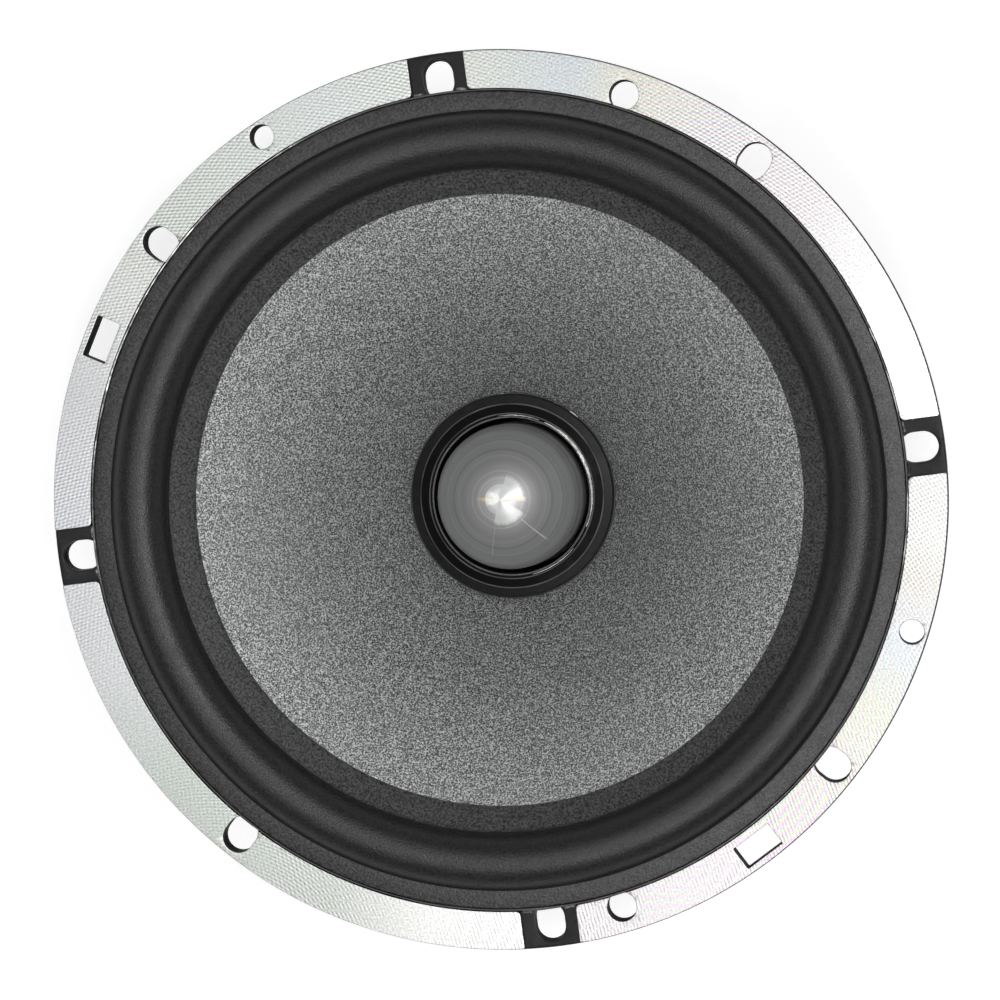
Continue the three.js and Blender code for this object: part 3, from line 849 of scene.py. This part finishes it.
def pocket_edges():
    """Short ridges where each pocket's floor meets the groove, beside its hole, coloured pale grey as a
    painted glint.
    """
    ridges = []
    for i in range(4):
        for side in (-1, 1):
            ends = [(75.75 - 0.02 * y * y, side * y) for y in (3.05, 3.7, 4.3, 4.85)]
            path = [(*turn([end], PATTERN + 90 * i)[0], POCKET_FLOOR_Z - 0.12) for end in ends]
            # painted glint: the rounded edge is coloured pale grey as if catching the light
            ridges.append(mesh_object(f"ridge_{i}_{side}", *tube(path, 0.3, 10), PAINTED_EDGE_GLINT))
    return ridges


def bite(angle, radius, width, length):
    """The part of a hole's outline outside the seat, and how far it spreads each way along the seat."""
    straight, half = (length - width) / 2, width / 2
    inner = radius - straight
    spread = acos((SEAT_R ** 2 + inner ** 2 - half ** 2) / (2 * SEAT_R * inner))
    opening = degrees(atan2(SEAT_R * sin(spread), SEAT_R * cos(spread) - inner))
    outline = arc(inner, 0, half, -opening, -90, 6)[1:]
    outline += arc(radius + straight, 0, half, -90, 90, 24)[0 if straight else 1:]
    outline += arc(inner, 0, half, 90, opening, 6)[0 if straight else 1:-1]
    return turn(outline, angle), degrees(spread)


def land_outline(index):
    """One quarter of the raised land, between two pockets, with bites for the holes at its inner edge."""
    start, end = PATTERN + 90 * index, PATTERN + 90 * (index + 1)
    half = POCKET_WIDTH / 2
    inner_gap = degrees(asin(half / SEAT_R)) + 0.7
    land_r = FLANGE_R - 0.24
    outer_gap = degrees(asin(half / land_r)) + 0.3
    round_in, round_out = 0.9, 0.35
    here = start + inner_gap
    inner = []
    for turned, radius, width, length in sorted((h[0] % 360, *h[1:]) for h in flange_holes()):
        angle = turned if turned > start else turned + 360
        if start + inner_gap < angle < end - inner_gap and radius - length / 2 < SEAT_R:
            cut, spread = bite(angle, radius, width, length)
            inner += arc(0, 0, SEAT_R, here, angle - spread, 30) + cut
            here = angle + spread
    inner += arc(0, 0, SEAT_R, here, end - inner_gap, 30)

    def side(radius, along, angle):
        return turn([(sqrt(radius ** 2 - half ** 2), along * half)], angle)[0]

    loop = [(*side(SEAT_R, 1, start), round_in), (*side(land_r, 1, start), round_out)]
    loop += [(x, y, 0) for x, y in arc(0, 0, land_r, start + outer_gap, end - outer_gap, 70)]
    loop += [(*side(land_r, -1, end), round_out), (*side(SEAT_R, -1, end), round_in)]
    loop += [(x, y, 0) for x, y in reversed(inner)]
    return filleted(loop, 5)


def land_quarter(index):
    start, end = PATTERN + 90 * index, PATTERN + 90 * (index + 1)

    def within(angle):
        return start < angle < end or start < angle + 360 < end

    holes = [hole_outline(angle, radius, width) for angle, radius, width, _ in flange_holes()[8:]
             if within(angle) and radius - width / 2 > SEAT_R]
    holes += [clip_slot(*clip) for clip in CLIP_SLOTS if within(clip[0])]
    quarter = plate(f"land_{index}", land_outline(index), holes,
                    POCKET_FLOOR_Z - 0.4, FLANGE_FRONT, 0.14, PAINT)
    quarter.data.materials.append(LAND)
    for face in quarter.data.polygons:
        if face.normal.z > 0.6 and face.center.z > (FLANGE_FRONT - 0.2) * MM:
            face.material_index = 1
    return quarter


def make_flange():
    quarters = [dull_walls(land_quarter(i)) for i in range(4)]
    flange = joined("basket_flange", [dull_walls(base_plate())] + pocket_edges() + quarters)
    place(flange, FRAME_BODY, "basket_casting", "basket")


# ---------------------------------------------------------------- the casting behind the flange

SPOKES = 6


def sector(r0, r1, a0, a1, z0, z1):
    outline = arc(0, 0, r1, a0, a1, 16) + arc(0, 0, r0, a1, a0, 16)
    return prism(outline, z0, z1)


def spoke(angle):
    """A channel-section spoke from the ledge to the rim that widens into the ring at each end."""
    a, b, c = Vector((44.5, 32.6)), Vector((66.6, 37.2)), Vector((69.9, 64.0))
    count = 17
    path = [a * (1 - t) ** 2 + b * 2 * t * (1 - t) + c * t * t
            for t in (i / (count - 1) for i in range(count))]
    rib, web, verts = 2.1, 0.5, []
    for i, here in enumerate(path):
        ahead = heading(path, i)
        outward = Vector((ahead.y, -ahead.x))
        t = i / (count - 1)
        flare = 1 + 0.55 * max(0, (0.16 - t) / 0.16) ** 2 + 0.7 * max(0, (t - 0.84) / 0.16) ** 2
        half = 5.6 * flare
        near_side = [(half, -1.5), (half, rib), (half - 1.9, rib), (half - 2.9, web)]
        section = near_side + [(-across, out) for across, out in reversed(near_side)]
        points = [(here + outward * out, across) for across, out in section]
        verts += turn([(point.x, across, point.y) for point, across in points], angle)
    return verts, capped_rows(count, len(section))


def make_casting():
    """Base ring, cup, ledge, spokes and rim, run together and softened like a casting."""
    base_top, vent_top = 27.6, 30.4
    rim = ring_solid([(FLANGE_BORE_R - 2.4, 60.2), (71.2, 60.2), (71.2, 63.6), (73.4, 65.2),
                      (73.4, 66.6), (FLANGE_BORE_R + 0.2, 66.6), (FLANGE_BORE_R - 2.4, 63)])
    base = ring_solid([(30, 25.1), (42.6, 25.1), (43, 26), (43, base_top), (30, base_top)])
    ledge = ring_solid([(38.6, 33.1), (38.6, 31.4), (40.4, vent_top), (43, vent_top), (46.5, 31.4),
                        (48.4, 32.6), (48.3, 34.6), (44.2, 34.5), (44.2, 33.1)])
    parts = [rim, base, ledge]
    for i in range(SPOKES):
        window = PATTERN + 30 + 60 * i
        parts.append(sector(40.4, 43, window + 10, window + 50, base_top - 0.5, vent_top + 0.5))
        parts.append(spoke(PATTERN + 60 * i))
    shelf = filleted(mirrored([(45, -13, 0), (57.8, -13, 2)]), 5)
    parts.append(prism(turn(shelf, TERMINAL_ANGLE), 30.2, LEDGE_Z - 0.05))
    for y in (-8, 8):
        web = [(43.5, y - 1.1), (55.5, y - 1.1), (55.5, y + 1.1), (43.5, y + 1.1)]
        parts.append(prism(turn(web, TERMINAL_ANGLE), 28.4, 31))
    casting = mesh_object("basket_casting", *merged(parts), PAINT)
    modify(casting, "REMESH", mode="VOXEL", voxel_size=0.65 * MM)
    modify(casting, "SMOOTH", factor=0.5, iterations=5)
    apply_modifiers(casting, 60)
    modify(casting, "DECIMATE", ratio=0.45)
    apply_modifiers(casting, 60)
    place(casting, FRAME_BODY, "basket_casting", "basket")


# ---------------------------------------------------------------- motor

def make_motor():
    chamfer, magnet_bore = 0.9, 22
    screw_bore, recess_r, recess_top = 2.3, 4.4, 3.2
    low, high = MAGNET_LOW.z, MAGNET_HIGH.z
    r = MAGNET_HIGH.x
    magnet = [(magnet_bore, low, 0.3), (r - chamfer, low, 0.2), (r, low + chamfer, 0.3),
              (r, high - chamfer, 0.3), (r - chamfer, high, 0.2), (magnet_bore, high, 0.3)]
    r = PLATE_HIGH.x
    front = [(PLATE_BORE_R, PLATE_LOW.z, 0.3), (r, PLATE_LOW.z, 0.5), (r, PLATE_HIGH.z, 0.5),
             (PLATE_BORE_R, PLATE_HIGH.z, 0.3)]
    r = YOKE_HIGH.x
    yoke = [(recess_r, 0, 0.4), (r - 2, 0, 0.8), (r, 2, 0.8), (r, low, 0.4), (POLE_R + 2.5, low, 1),
            (POLE_R, 8.5, 1), (POLE_R, YOKE_HIGH.z, 0.4), (screw_bore, YOKE_HIGH.z, 0.3),
            (screw_bore, recess_top, 0.2), (recess_r, recess_top, 0.2)]
    for name, corners, look, slot, node in (("magnet_ring", magnet, FERRITE, "ferrite", "magnet"),
                                            ("front_plate", front, STEEL, "motor_steel", "top_plate"),
                                            ("yoke_turned", yoke, STEEL, "motor_steel", "yoke")):
        place(lathe(name, filleted(corners, 3), look, 200), FRAME_BODY, slot, node)


def cut_cross(screw, size, depth, top):
    """Cuts a cross-shaped driver recess, narrower at its foot."""
    thin, taper = size * 0.22, 0.55
    for turned in (0, 90):
        outline = turn([(-size, -thin), (size, -thin), (size, thin), (-size, thin)], turned)
        foot = [(x * taper, y * taper, top - depth) for x, y in outline]
        subtract(screw, foot + [(x, y, top + 0.2) for x, y in outline], capped_rows(2, 4))


HEAD_HEIGHT = 2.2
THREAD_PITCH = 0.7


def make_screw(name, node, rotation, head_at_top=True):
    """A pan head screw in its node's place, made standing on its shank with its head's seat at z = 0."""
    low, high = cad(node)
    length, head_r, shank_r, edge = high.z - low.z - HEAD_HEIGHT, 3.6, 1.9, 0.7
    dome = [(head_r * cos(a), edge + (HEAD_HEIGHT - edge) * sin(a))
            for a in (radians(9 * i) for i in range(10))]
    outline = [(0.01, -length), (shank_r - 0.4, -length), (shank_r, -length + 0.5)]
    for i in range(int((length - 1.2) / THREAD_PITCH)):
        z = -length + 0.6 + THREAD_PITCH * i
        outline += [(shank_r, z), (shank_r - 0.32, z + THREAD_PITCH / 2)]
    outline += [(shank_r, -0.05), (head_r - 0.25, 0), (head_r, 0.2)] + dome + [(0.01, HEAD_HEIGHT)]
    screw = lathe(name, outline, ZINC, 48, 40)
    cut_cross(screw, 2.1, 1.5, HEAD_HEIGHT)
    centre = (low + high) / 2
    seat = high.z - HEAD_HEIGHT if head_at_top else low.z + HEAD_HEIGHT
    screw.data.transform(rotation)
    screw.data.transform(Matrix.Translation((centre.x * MM, centre.y * MM, seat * MM)))
    place(screw, FRAME_BODY, "zinc_screw", node)


def make_screws():
    for i in range(1, 5):
        make_screw(f"pan_screw_{i}", f"basket_screw_{i}", Matrix.Rotation(radians(37 * i), 4, "Z"))
    make_screw("plug_fixing_screw", "plug_screw", Matrix.Rotation(pi, 4, "X"), head_at_top=False)


def make_plug():
    nose, tip, base = 15, PLUG_HIGH.z, PLUG_LOW.z
    shoulder = tip - nose
    radius, screw_bore, bore_end, steps = PLUG_HIGH.x, 2.3, 38, 60
    outline = [(0.004, bore_end), (screw_bore, bore_end), (screw_bore, base), (radius - 0.4, base),
               (radius, base + 0.4), (radius, shoulder - 0.5)]
    for i in range(steps + 1):
        t = i / steps * pi / 2
        outline.append((max(radius * cos(t), 0.004), shoulder + (tip - shoulder) * sin(t) ** 1.15))
    place(lathe("bullet_plug", outline, TURNED, 220), FRAME_BODY, "turned_aluminium", "phase_plug")


# ---------------------------------------------------------------- moving assembly

def cone_front(r):
    out = r - CONE_THROAT_R
    return CONE_THROAT_Z + THROAT_SLOPE * out - SLOPE_LOSS * out * out


def cone_slope(r):
    return atan(THROAT_SLOPE - 2 * SLOPE_LOSS * (r - CONE_THROAT_R))


def cone_back(r):
    return cone_front(r) - CONE_WALL / cos(cone_slope(r))


def make_cone():
    neck = FORMER_R + FORMER_WALL + 0.05
    radii = [neck + (CONE_RIM_R - neck) * i / 40 for i in range(41)]
    back = [(r, cone_back(r)) for r in radii]
    front = [(r, cone_front(r)) for r in reversed(radii)]
    cone = lathe("cone_shell", back + front, CONE_SKIN, 240)
    place(cone, MOVING_BODY, "cone_skin", "cone")


def make_neck_ring():
    inner = FORMER_R + FORMER_WALL + 0.05
    top = CONE_THROAT_Z + 1.9
    edge = RING_R - 0.2
    outline = filleted([
        (inner, cone_front(inner) + 0.1, 0), (edge, cone_front(edge) + 0.1, 0),
        (RING_R, top - 1.75, 0.1), (RING_R - 0.3, top - 1.25, 0.25), (RING_STEP_R + 0.15, top - 0.8, 0.12),
        (RING_STEP_R - 0.15, top - 0.4, 0.15), (RING_LIP_R, top - 0.15, 0.1), (RING_LIP_R - 0.15, top, 0.1),
        (inner, top, 0.06)], 3)
    ring = lathe("throat_ring", outline, NECK, 200)
    place(ring, MOVING_BODY, "neck_plastic", "neck_ring")


def make_coil():
    low, high = cad("coil_former")
    outline = [(FORMER_R, low.z), (FORMER_R + FORMER_WALL, low.z),
               (FORMER_R + FORMER_WALL, high.z), (FORMER_R, high.z)]
    former = lathe("former_sleeve", outline, FILM, 160)
    place(former, MOVING_BODY, "former_film", "coil_former")
    low, high = cad("coil_winding")
    inner, outer, pitch = FORMER_R + FORMER_WALL, high.x, 0.5
    outline = [(inner, low.z)]
    for i in range(int((high.z - low.z) / pitch)):
        z = low.z + pitch * i
        outline += [(outer - 0.12, z + 0.02), (outer, z + 0.15), (outer, z + 0.35), (outer - 0.12, z + 0.48)]
    outline += [(inner, high.z)]
    winding = lathe("wound_coil", outline, COPPER, 120)
    place(winding, MOVING_BODY, "copper_wire", "coil_winding")


def bead(name, radius, height, thickness, seed):
    """A ring of glue whose thickness and place wander."""
    verts = []
    section, sides = 10, 360
    for k in range(sides):
        a = TAU * k / sides
        spot = Vector(at(6, a, seed))
        size = thickness * (1 + 0.45 * noise.noise(spot) + 0.25 * noise.noise(spot * 3.1))
        shift = 0.25 * thickness * noise.noise(spot * 1.7 + Vector((5, 0, 0)))
        for i in range(section):
            b = TAU * i / section
            r = radius + shift + size * cos(b)
            verts.append(at(r, a, height + size * sin(b)))
    return mesh_object(name, verts, quads(sides, section, wrap_rows=True), GLUE)


def glue_run(name, radius, height, width, start, end, seed):
    """A thin run of glossy glue along an arc, its top sloping outwards and its width wandering, coloured
    whitish as a painted glint.
    """
    slope, deep, steps = tan(radians(13)), 0.3, 60
    verts = []
    for k in range(steps + 1):
        t = k / steps
        a = radians(start + (end - start) * t)
        spot = Vector((seed, a * 30, 0))
        wide = width * (0.12 + 0.88 * sin(pi * t) ** 0.6) * (1 + 0.5 * noise.noise(spot))
        middle = radius + 0.05 * noise.noise(spot * 0.7)
        top = height + 0.02 * noise.noise(spot * 0.5)
        inner, outer = middle - wide / 2, middle + wide / 2
        section = [(inner, top - deep), (inner, top - 0.05 * wide), (inner + 0.12 * wide, top),
                   (outer - 0.12 * wide, top - 0.76 * wide * slope),
                   (outer, top - wide * slope - 0.05 * wide), (outer, top - deep)]
        verts += [at(r, a, z) for r, z in section]
    return mesh_object(name, verts, capped_rows(steps + 1, len(section)), GLUE_PAINTED_GLINT)


def make_glue():
    flange_glue = [bead("flange_bead", 75.08, SEAT_FLOOR_Z + 0.4, 0.34, 3.0)]
    for i, (start, end) in enumerate([(-13.6, -12.2), (-8.4, -4.2), (-3.5, 1.6), (12.6, 18.6), (22.8, 25)]):
        flange_glue.append(glue_run(f"flange_run_{i}", 75.12, SEAT_FLOOR_Z + 0.82, 0.26, start, end, 3.3 * i))
    place(joined("flange_glue", flange_glue), FRAME_BODY, "pad_adhesive")
    throat = [bead("throat_bead", FORMER_R + 0.15, CONE_THROAT_Z + 1.72, 0.16, 11.0)]
    for i, (radius, width, start, end) in enumerate([(15.36, 0.5, -4, 66), (15.42, 0.22, -22, 2),
                                                     (15.4, 0.12, -75, -40), (15.4, 0.12, 70, 100)]):
        throat.append(glue_run(f"throat_run_{i}", radius, CONE_THROAT_Z + 2.02, width, start, end, 7.1 * i))
    place(joined("throat_glue", throat), MOVING_BODY, "pad_adhesive")
    skirt = [bead("skirt_bead", RING_R + 0.05, CONE_THROAT_Z + 0.02, 0.14, 21.0)]
    skirt.append(glue_run("skirt_run", RING_R + 0.02, CONE_THROAT_Z + 0.35, 0.2, 50, 56, 5.0))
    place(joined("skirt_glue", skirt), MOVING_BODY, "pad_adhesive")


# ---------------------------------------------------------------- soft parts

def soften(obj, node):
    """A soft piece that runs from the frame at its start to the moving assembly at its end: its place is
    baked into its mesh and the node it replaces is hidden.
    """
    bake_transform(obj)
    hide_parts(node)


def soften_ring(obj, node):
    soften(obj, node)


def make_surround():
    seat = SEAT_FLOOR_Z + 0.02
    middle = (ROLL_INNER_R + ROLL_OUTER_R) / 2
    half = (ROLL_OUTER_R - ROLL_INNER_R) / 2
    gap = 0.1
    inner_foot = cone_front(ROLL_INNER_R) + gap
    steps = 30

    def roll(reach, lift):
        points = []
        for i in range(steps + 1):
            t = pi * i / steps
            foot = seat + (inner_foot - seat) * i / steps
            points.append((middle + reach * cos(t), foot + lift + ROLL_HEIGHT * sin(t)))
        return points

    outside = roll(half, SURROUND_WALL)
    inside = roll(half - SURROUND_WALL, 0)[::-1]
    edge = 74.85
    last = SURROUND_INNER_R + 0.15
    landing_radii = [ROLL_INNER_R - (ROLL_INNER_R - last) * i / 8 for i in range(1, 9)]
    landing = [(r, cone_front(r) + gap + SURROUND_WALL) for r in landing_radii]
    outline = [(edge, seat), (edge + 0.02, seat + 0.3), (edge - 0.12, seat + 0.55),
               (edge - 0.3, seat + SURROUND_WALL)]
    outline += outside + landing
    lip = SURROUND_INNER_R
    outline += [(lip + 0.02, cone_front(lip) + gap + 0.5), (lip, cone_front(lip) + gap + 0.02)]
    outline += [(r, cone_front(r) + gap) for r in (58, CONE_RIM_R)]
    outline += inside
    ring = lathe("roll_surround", outline, RUBBER, 256)
    soften_ring(ring, "surround")


def make_spider():
    inner = FORMER_R + FORMER_WALL + 0.05
    wall, middle = 0.45, LEDGE_Z + 0.25
    first, flat = 19.0, 38.0
    waves = 7
    ridge = [(inner, middle + 1.3), (inner + 0.5, middle + 0.9), (inner + 1.2, middle + 0.35),
             (first - 1.4, middle + 0.05)]
    steps = waves * 12
    for i in range(steps + 1):
        t = i / steps
        r = first + (flat - first) * t
        fade = min(1, 6 * t, 6 * (1 - t))
        ridge.append((r, middle + 0.95 * fade * sin(TAU * waves * t)))
    ridge += [(flat + 0.4, LEDGE_Z + 0.03), (43.7, LEDGE_Z + 0.03)]
    top = [(r, z + wall) for r, z in reversed(ridge)]
    spider = lathe("corrugated_spider", ridge + top, CLOTH, 200)
    soften_ring(spider, "spider")
    spider_glue = bead("spider_glue", 43.75, LEDGE_Z + 0.35, 0.35, 31.0)
    place(spider_glue, FRAME_BODY, "pad_adhesive")


# ---------------------------------------------------------------- terminals and leads

RIVET_X, RIVET_Y = 54.0, 7.5
TAB_NEAR, TAB_FAR, TAB_THICK, LUG_TOP = 50.8, 68.5, 0.8, 39.6
TAB_WIDTHS = {"positive": 6.3, "negative": 4.8}
LEAD_R = 0.7
LAY = 3.4  # length of one turn of a braid's strand
SOLDER_Z = 38.1
PAD_X, PAD_Y, PAD_R, PAD_THICK, PAD_GAP = 27.2, 6.7, 2.0, 1.4, 0.1


def turned_object(obj):
    obj.data.transform(Matrix.Rotation(radians(TERMINAL_ANGLE), 4, "Z"))
    return obj


def make_board():
    near, far = 49.3, 60.0
    outline = filleted(mirrored([(near, -13, 1.2), (far, -13, 1.2)]), 5)
    holes = [circle(1.5, 24, RIVET_X, side * RIVET_Y) for side in (1, -1)]
    board = plate("laminate_board", outline, holes, BOARD_LOW.z, BOARD_HIGH.z, 0.15, BOARD)
    place(turned_object(board), FRAME_BODY, "terminal_board", "terminal_board")


def make_tab(pole, side):
    width = TAB_WIDTHS[pole]
    centre = side * RIVET_Y
    half = width / 2
    z = BOARD_HIGH.z
    tip = 1.1
    outline = mirrored([(TAB_NEAR, -half, 0.3), (TAB_FAR - 1.4, -half, 0.4), (TAB_FAR, tip - half, 0.3)])
    outline = [(x, centre + y, rounding) for x, y, rounding in outline]
    holes = [circle(1.5, 24, RIVET_X, centre), circle(0.9, 20, TAB_FAR - 4.2, centre)]
    blade = plate("blade", filleted(outline, 4), holes, z, z + TAB_THICK, 0.12, BRASS)
    lug_half = half - 1
    lug_outline = mirrored([(z, -lug_half, 0), (LUG_TOP, -lug_half, 1.0)])
    eye = circle(0.65, 16, LUG_TOP - 1.6)
    lug = plate("lug", filleted(lug_outline, 5), [eye], 0, TAB_THICK, 0.1, BRASS)
    # the lug is laid out flat and stood up at the blade's near end
    stand = Matrix(((0, 0, 1, TAB_NEAR * MM), (0, 1, 0, centre * MM), (1, 0, 0, 0), (0, 0, 0, 1)))
    lug.data.transform(stand)
    lug.data.flip_normals()
    tab = joined(f"spade_tab_{pole}", [blade, lug])
    place(turned_object(tab), FRAME_BODY, "terminal_brass", f"terminal_tab_{pole}")


def make_rivet(index, side):
    low, high = cad(f"terminal_rivet_{index}")
    head = 2.1
    under, top = low.z, high.z
    dome = 0.8
    outline = [(0.01, under)]
    outline += [(head * sin(a), under + dome - dome * cos(a))
                for a in (radians(10 * i) for i in range(1, 10))]
    outline += [(1.2, under + dome), (1.2, top - dome)]
    outline += [(head * cos(a), top - dome + dome * sin(a))
                for a in (radians(9 * i) for i in range(10))]
    outline += [(0.8, top - 0.05), (0.55, top - 0.4), (0.01, top - 0.45)]
    rivet = lathe(f"domed_rivet_{index}", outline, ZINC, 40, 45)
    rivet.data.transform(Matrix.Translation((RIVET_X * MM, side * RIVET_Y * MM, 0)))
    place(turned_object(rivet), FRAME_BODY, "rivet_steel", f"terminal_rivet_{index}")


def pad_place(side):
    """The pad's radius, angle, slope and height on the cone's back."""
    r = hypot(PAD_X, PAD_Y)
    return r, atan2(side * PAD_Y, PAD_X), cone_slope(r), cone_back(r)


def make_pad(pole, side):
    """A dome of black adhesive under the cone, over the joint of lead and coil wire."""
    r, around, slope, z = pad_place(side)
    verts = []
    rows, sides = 9, 28
    for i in range(rows + 1):
        t = i / rows * pi / 2
        for k in range(sides):
            a = TAU * k / sides
            size = PAD_R * 1.12 * (1 + 0.12 * noise.noise(Vector(at(2, a, side * 4))))
            verts.append(at(size * cos(t), a, -(PAD_THICK + 0.25) * sin(t) - 0.02))
    pad = mesh_object(f"adhesive_pad_{pole}", verts, capped_rows(rows + 1, sides), GLUE, 60)
    tilt = Matrix.Rotation(-slope, 4, "Y")
    shift = Matrix.Translation((r * MM, 0, z * MM))
    pad.data.transform(Matrix.Rotation(around, 4, "Z") @ shift @ tilt)
    place(turned_object(pad), MOVING_BODY, "pad_adhesive", f"lead_pad_{pole}")


def lead_route(side):
    r, around, slope, z = pad_place(side)

    def on_pad(further):
        out = PAD_GAP + PAD_THICK + 0.3 + further
        return at(r + sin(slope) * out, around, z - cos(slope) * out)

    return [(TAB_NEAR - 0.3, side * RIVET_Y, SOLDER_Z + 0.1), (46.5, side * 7.6, 41.2),
            (40, side * 7.5, 43.2), (34, side * 7.2, 42.4), on_pad(1.6), on_pad(-0.9)]


def make_lead(pole, side):
    """A braid: strands wound both ways round a core, from the lug to the pad."""
    path = smooth_path(lead_route(side), 14)
    travelled = [0.0]
    for before, here in zip(path, path[1:]):
        travelled.append(travelled[-1] + (here - before).length)
    groups = [tube(path, LEAD_R * 0.62, 8)]
    strands = 6
    for way in (1, -1):
        for k in range(strands):
            strand = []
            for (here, one, two), along in zip(framed(path), travelled):
                a = TAU * k / strands + way * along * TAU / LAY
                weave = 0.07 * way * sin(along * TAU / (LAY / 2) + k)
                out = LEAD_R * 0.74 + weave
                strand.append(here + (one * cos(a) + two * sin(a)) * out)
            groups.append(tube(strand, 0.17, 5))
    lead = mesh_object(f"tinsel_lead_{pole}", *merged(groups), TINSEL, 60)
    turned_object(lead)
    soften(lead, f"lead_{pole}")
    make_solder(pole, side)
    make_coil_wire(pole, side)


def make_solder(pole, side):
    """The blob that holds the lead on its lug."""
    verts = []
    rows, sides = 10, 20
    for i in range(rows + 1):
        t = pi * i / rows
        for k in range(sides):
            a = TAU * k / sides
            bulge = 1 + 0.18 * noise.noise(Vector(at(2, a, t * 2 + side * 7)))
            verts.append((TAB_NEAR - 0.1 + 0.85 * bulge * sin(t) * cos(a),
                          side * RIVET_Y + 1.15 * bulge * sin(t) * sin(a),
                          SOLDER_Z - 1.2 * bulge * cos(t)))
    blob = mesh_object(f"solder_{pole}", verts, quads(rows + 1, sides), SOLDER, 60)
    place(turned_object(blob), FRAME_BODY, "rivet_steel")


def make_coil_wire(pole, side):
    """The coil's own wire, stuck to the back of the cone from the pad to the former."""
    around = pad_place(side)[1]
    start_r, end_r, steps, points = 16.2, 27.6, 24, []
    for i in range(steps + 1):
        r = start_r + (end_r - start_r) * i / steps
        points.append(at(r, around + 0.02 * sin(i * 0.5), cone_back(r) - 0.16))
    wire = mesh_object(f"coil_wire_{pole}", *tube(points, 0.2, 8), COPPER, 60)
    place(turned_object(wire), MOVING_BODY, "copper_wire")


def make_terminals():
    make_board()
    for index, (pole, side) in enumerate((("positive", 1), ("negative", -1)), 1):
        make_tab(pole, side)
        make_rivet(index, side)
        make_pad(pole, side)
        make_lead(pole, side)


# ---------------------------------------------------------------- studio

def make_camera():
    """Nearly square on to the flange, a little to the right and above, 65 cm away."""
    target = Vector((1.15, 0.37, FLANGE_FRONT))
    sideways, upwards, distance = radians(7.1), radians(2.42), 650
    back = Vector((tan(sideways), tan(upwards), 1)).normalized()
    right = Vector((0, 1, 0)).cross(back).normalized()
    facing = Matrix((right, back.cross(right), back)).transposed().to_4x4()
    data = bpy.data.cameras.new("camera")
    data.sensor_width = 36
    data.lens = 128.15
    data.clip_start = 0.01
    camera = new_object("camera", data)
    camera.matrix_world = Matrix.Translation((target + back * distance) * MM) @ facing
    bpy.context.scene.camera = camera


def overhead(name, azimuth, off_axis, size, radiance):
    """A round panel 1.1 m above the flange, off_axis degrees from straight overhead."""
    above = 1.1
    reach = above * tan(radians(off_axis))
    a = radians(azimuth)
    aim = Vector((0, 0, FLANGE_FRONT * MM))
    data = bpy.data.lights.new(name, "AREA")
    data.shape = "DISK"
    data.size = size
    data.energy = radiance * pi * pi * (size / 2) ** 2
    light = new_object(name, data)
    light.location = aim + Vector((reach * cos(a), reach * sin(a), above))
    light.rotation_euler = (aim - light.location).to_track_quat("-Z", "Y").to_euler()


def make_sky():
    """Dim above, pale near the horizon, so that the floor runs into it."""
    world = bpy.data.worlds.new("studio")
    bpy.context.scene.world = world
    world.use_nodes = True
    nodes, links = world.node_tree.nodes, world.node_tree.links
    coords = nodes.new("ShaderNodeTexCoord")
    split = nodes.new("ShaderNodeSeparateXYZ")
    links.new(coords.outputs["Generated"], split.inputs[0])
    ramp = nodes.new("ShaderNodeValToRGB")
    set_stops(ramp, [(0.0, 1.02), (0.12, 1.0), (0.2, 0.86), (0.42, 0.3), (1.0, 0.3)])
    links.new(split.outputs[2], ramp.inputs["Fac"])
    links.new(ramp.outputs["Color"], nodes["Background"].inputs["Color"])


def make_floor():
    """A pale floor that glows a little, more so far out, where the panels' light falls off."""
    bpy.ops.mesh.primitive_circle_add(vertices=96, radius=7, fill_type="NGON")
    floor = bpy.context.object
    floor.name = "floor"
    look = Look("studio_floor", (0.82, 0.82, 0.82), 0.85)
    look.color(look.ramp(look.noise(3, 2), [(0.3, 0.81), (0.7, 0.83)]))
    radius = look.polar()[0]
    glow = look.spread(radius, 0.46, 0.8, 0.1, 2.2, interpolation_type="SMOOTHSTEP")
    look.set("Emission Color", rgba(1))
    look.drive("Emission Strength", glow)
    floor.data.materials.append(look.material)


def make_studio():
    make_sky()
    overhead("wide_box", 30, 3, 1.5, 0.9)
    overhead("panel_right", 22, 19, 0.24, 20)
    overhead("panel_low", -68, 18, 0.2, 18)
    overhead("panel_left", 172, 16, 0.12, 18)
    bpy.context.scene.view_settings.view_transform = "Standard"
    make_floor()


make_camera()
make_studio()
make_flange()
make_casting()
make_motor()
make_screws()
make_plug()
make_cone()
make_neck_ring()
make_coil()
make_glue()
make_surround()
make_spider()
make_terminals()
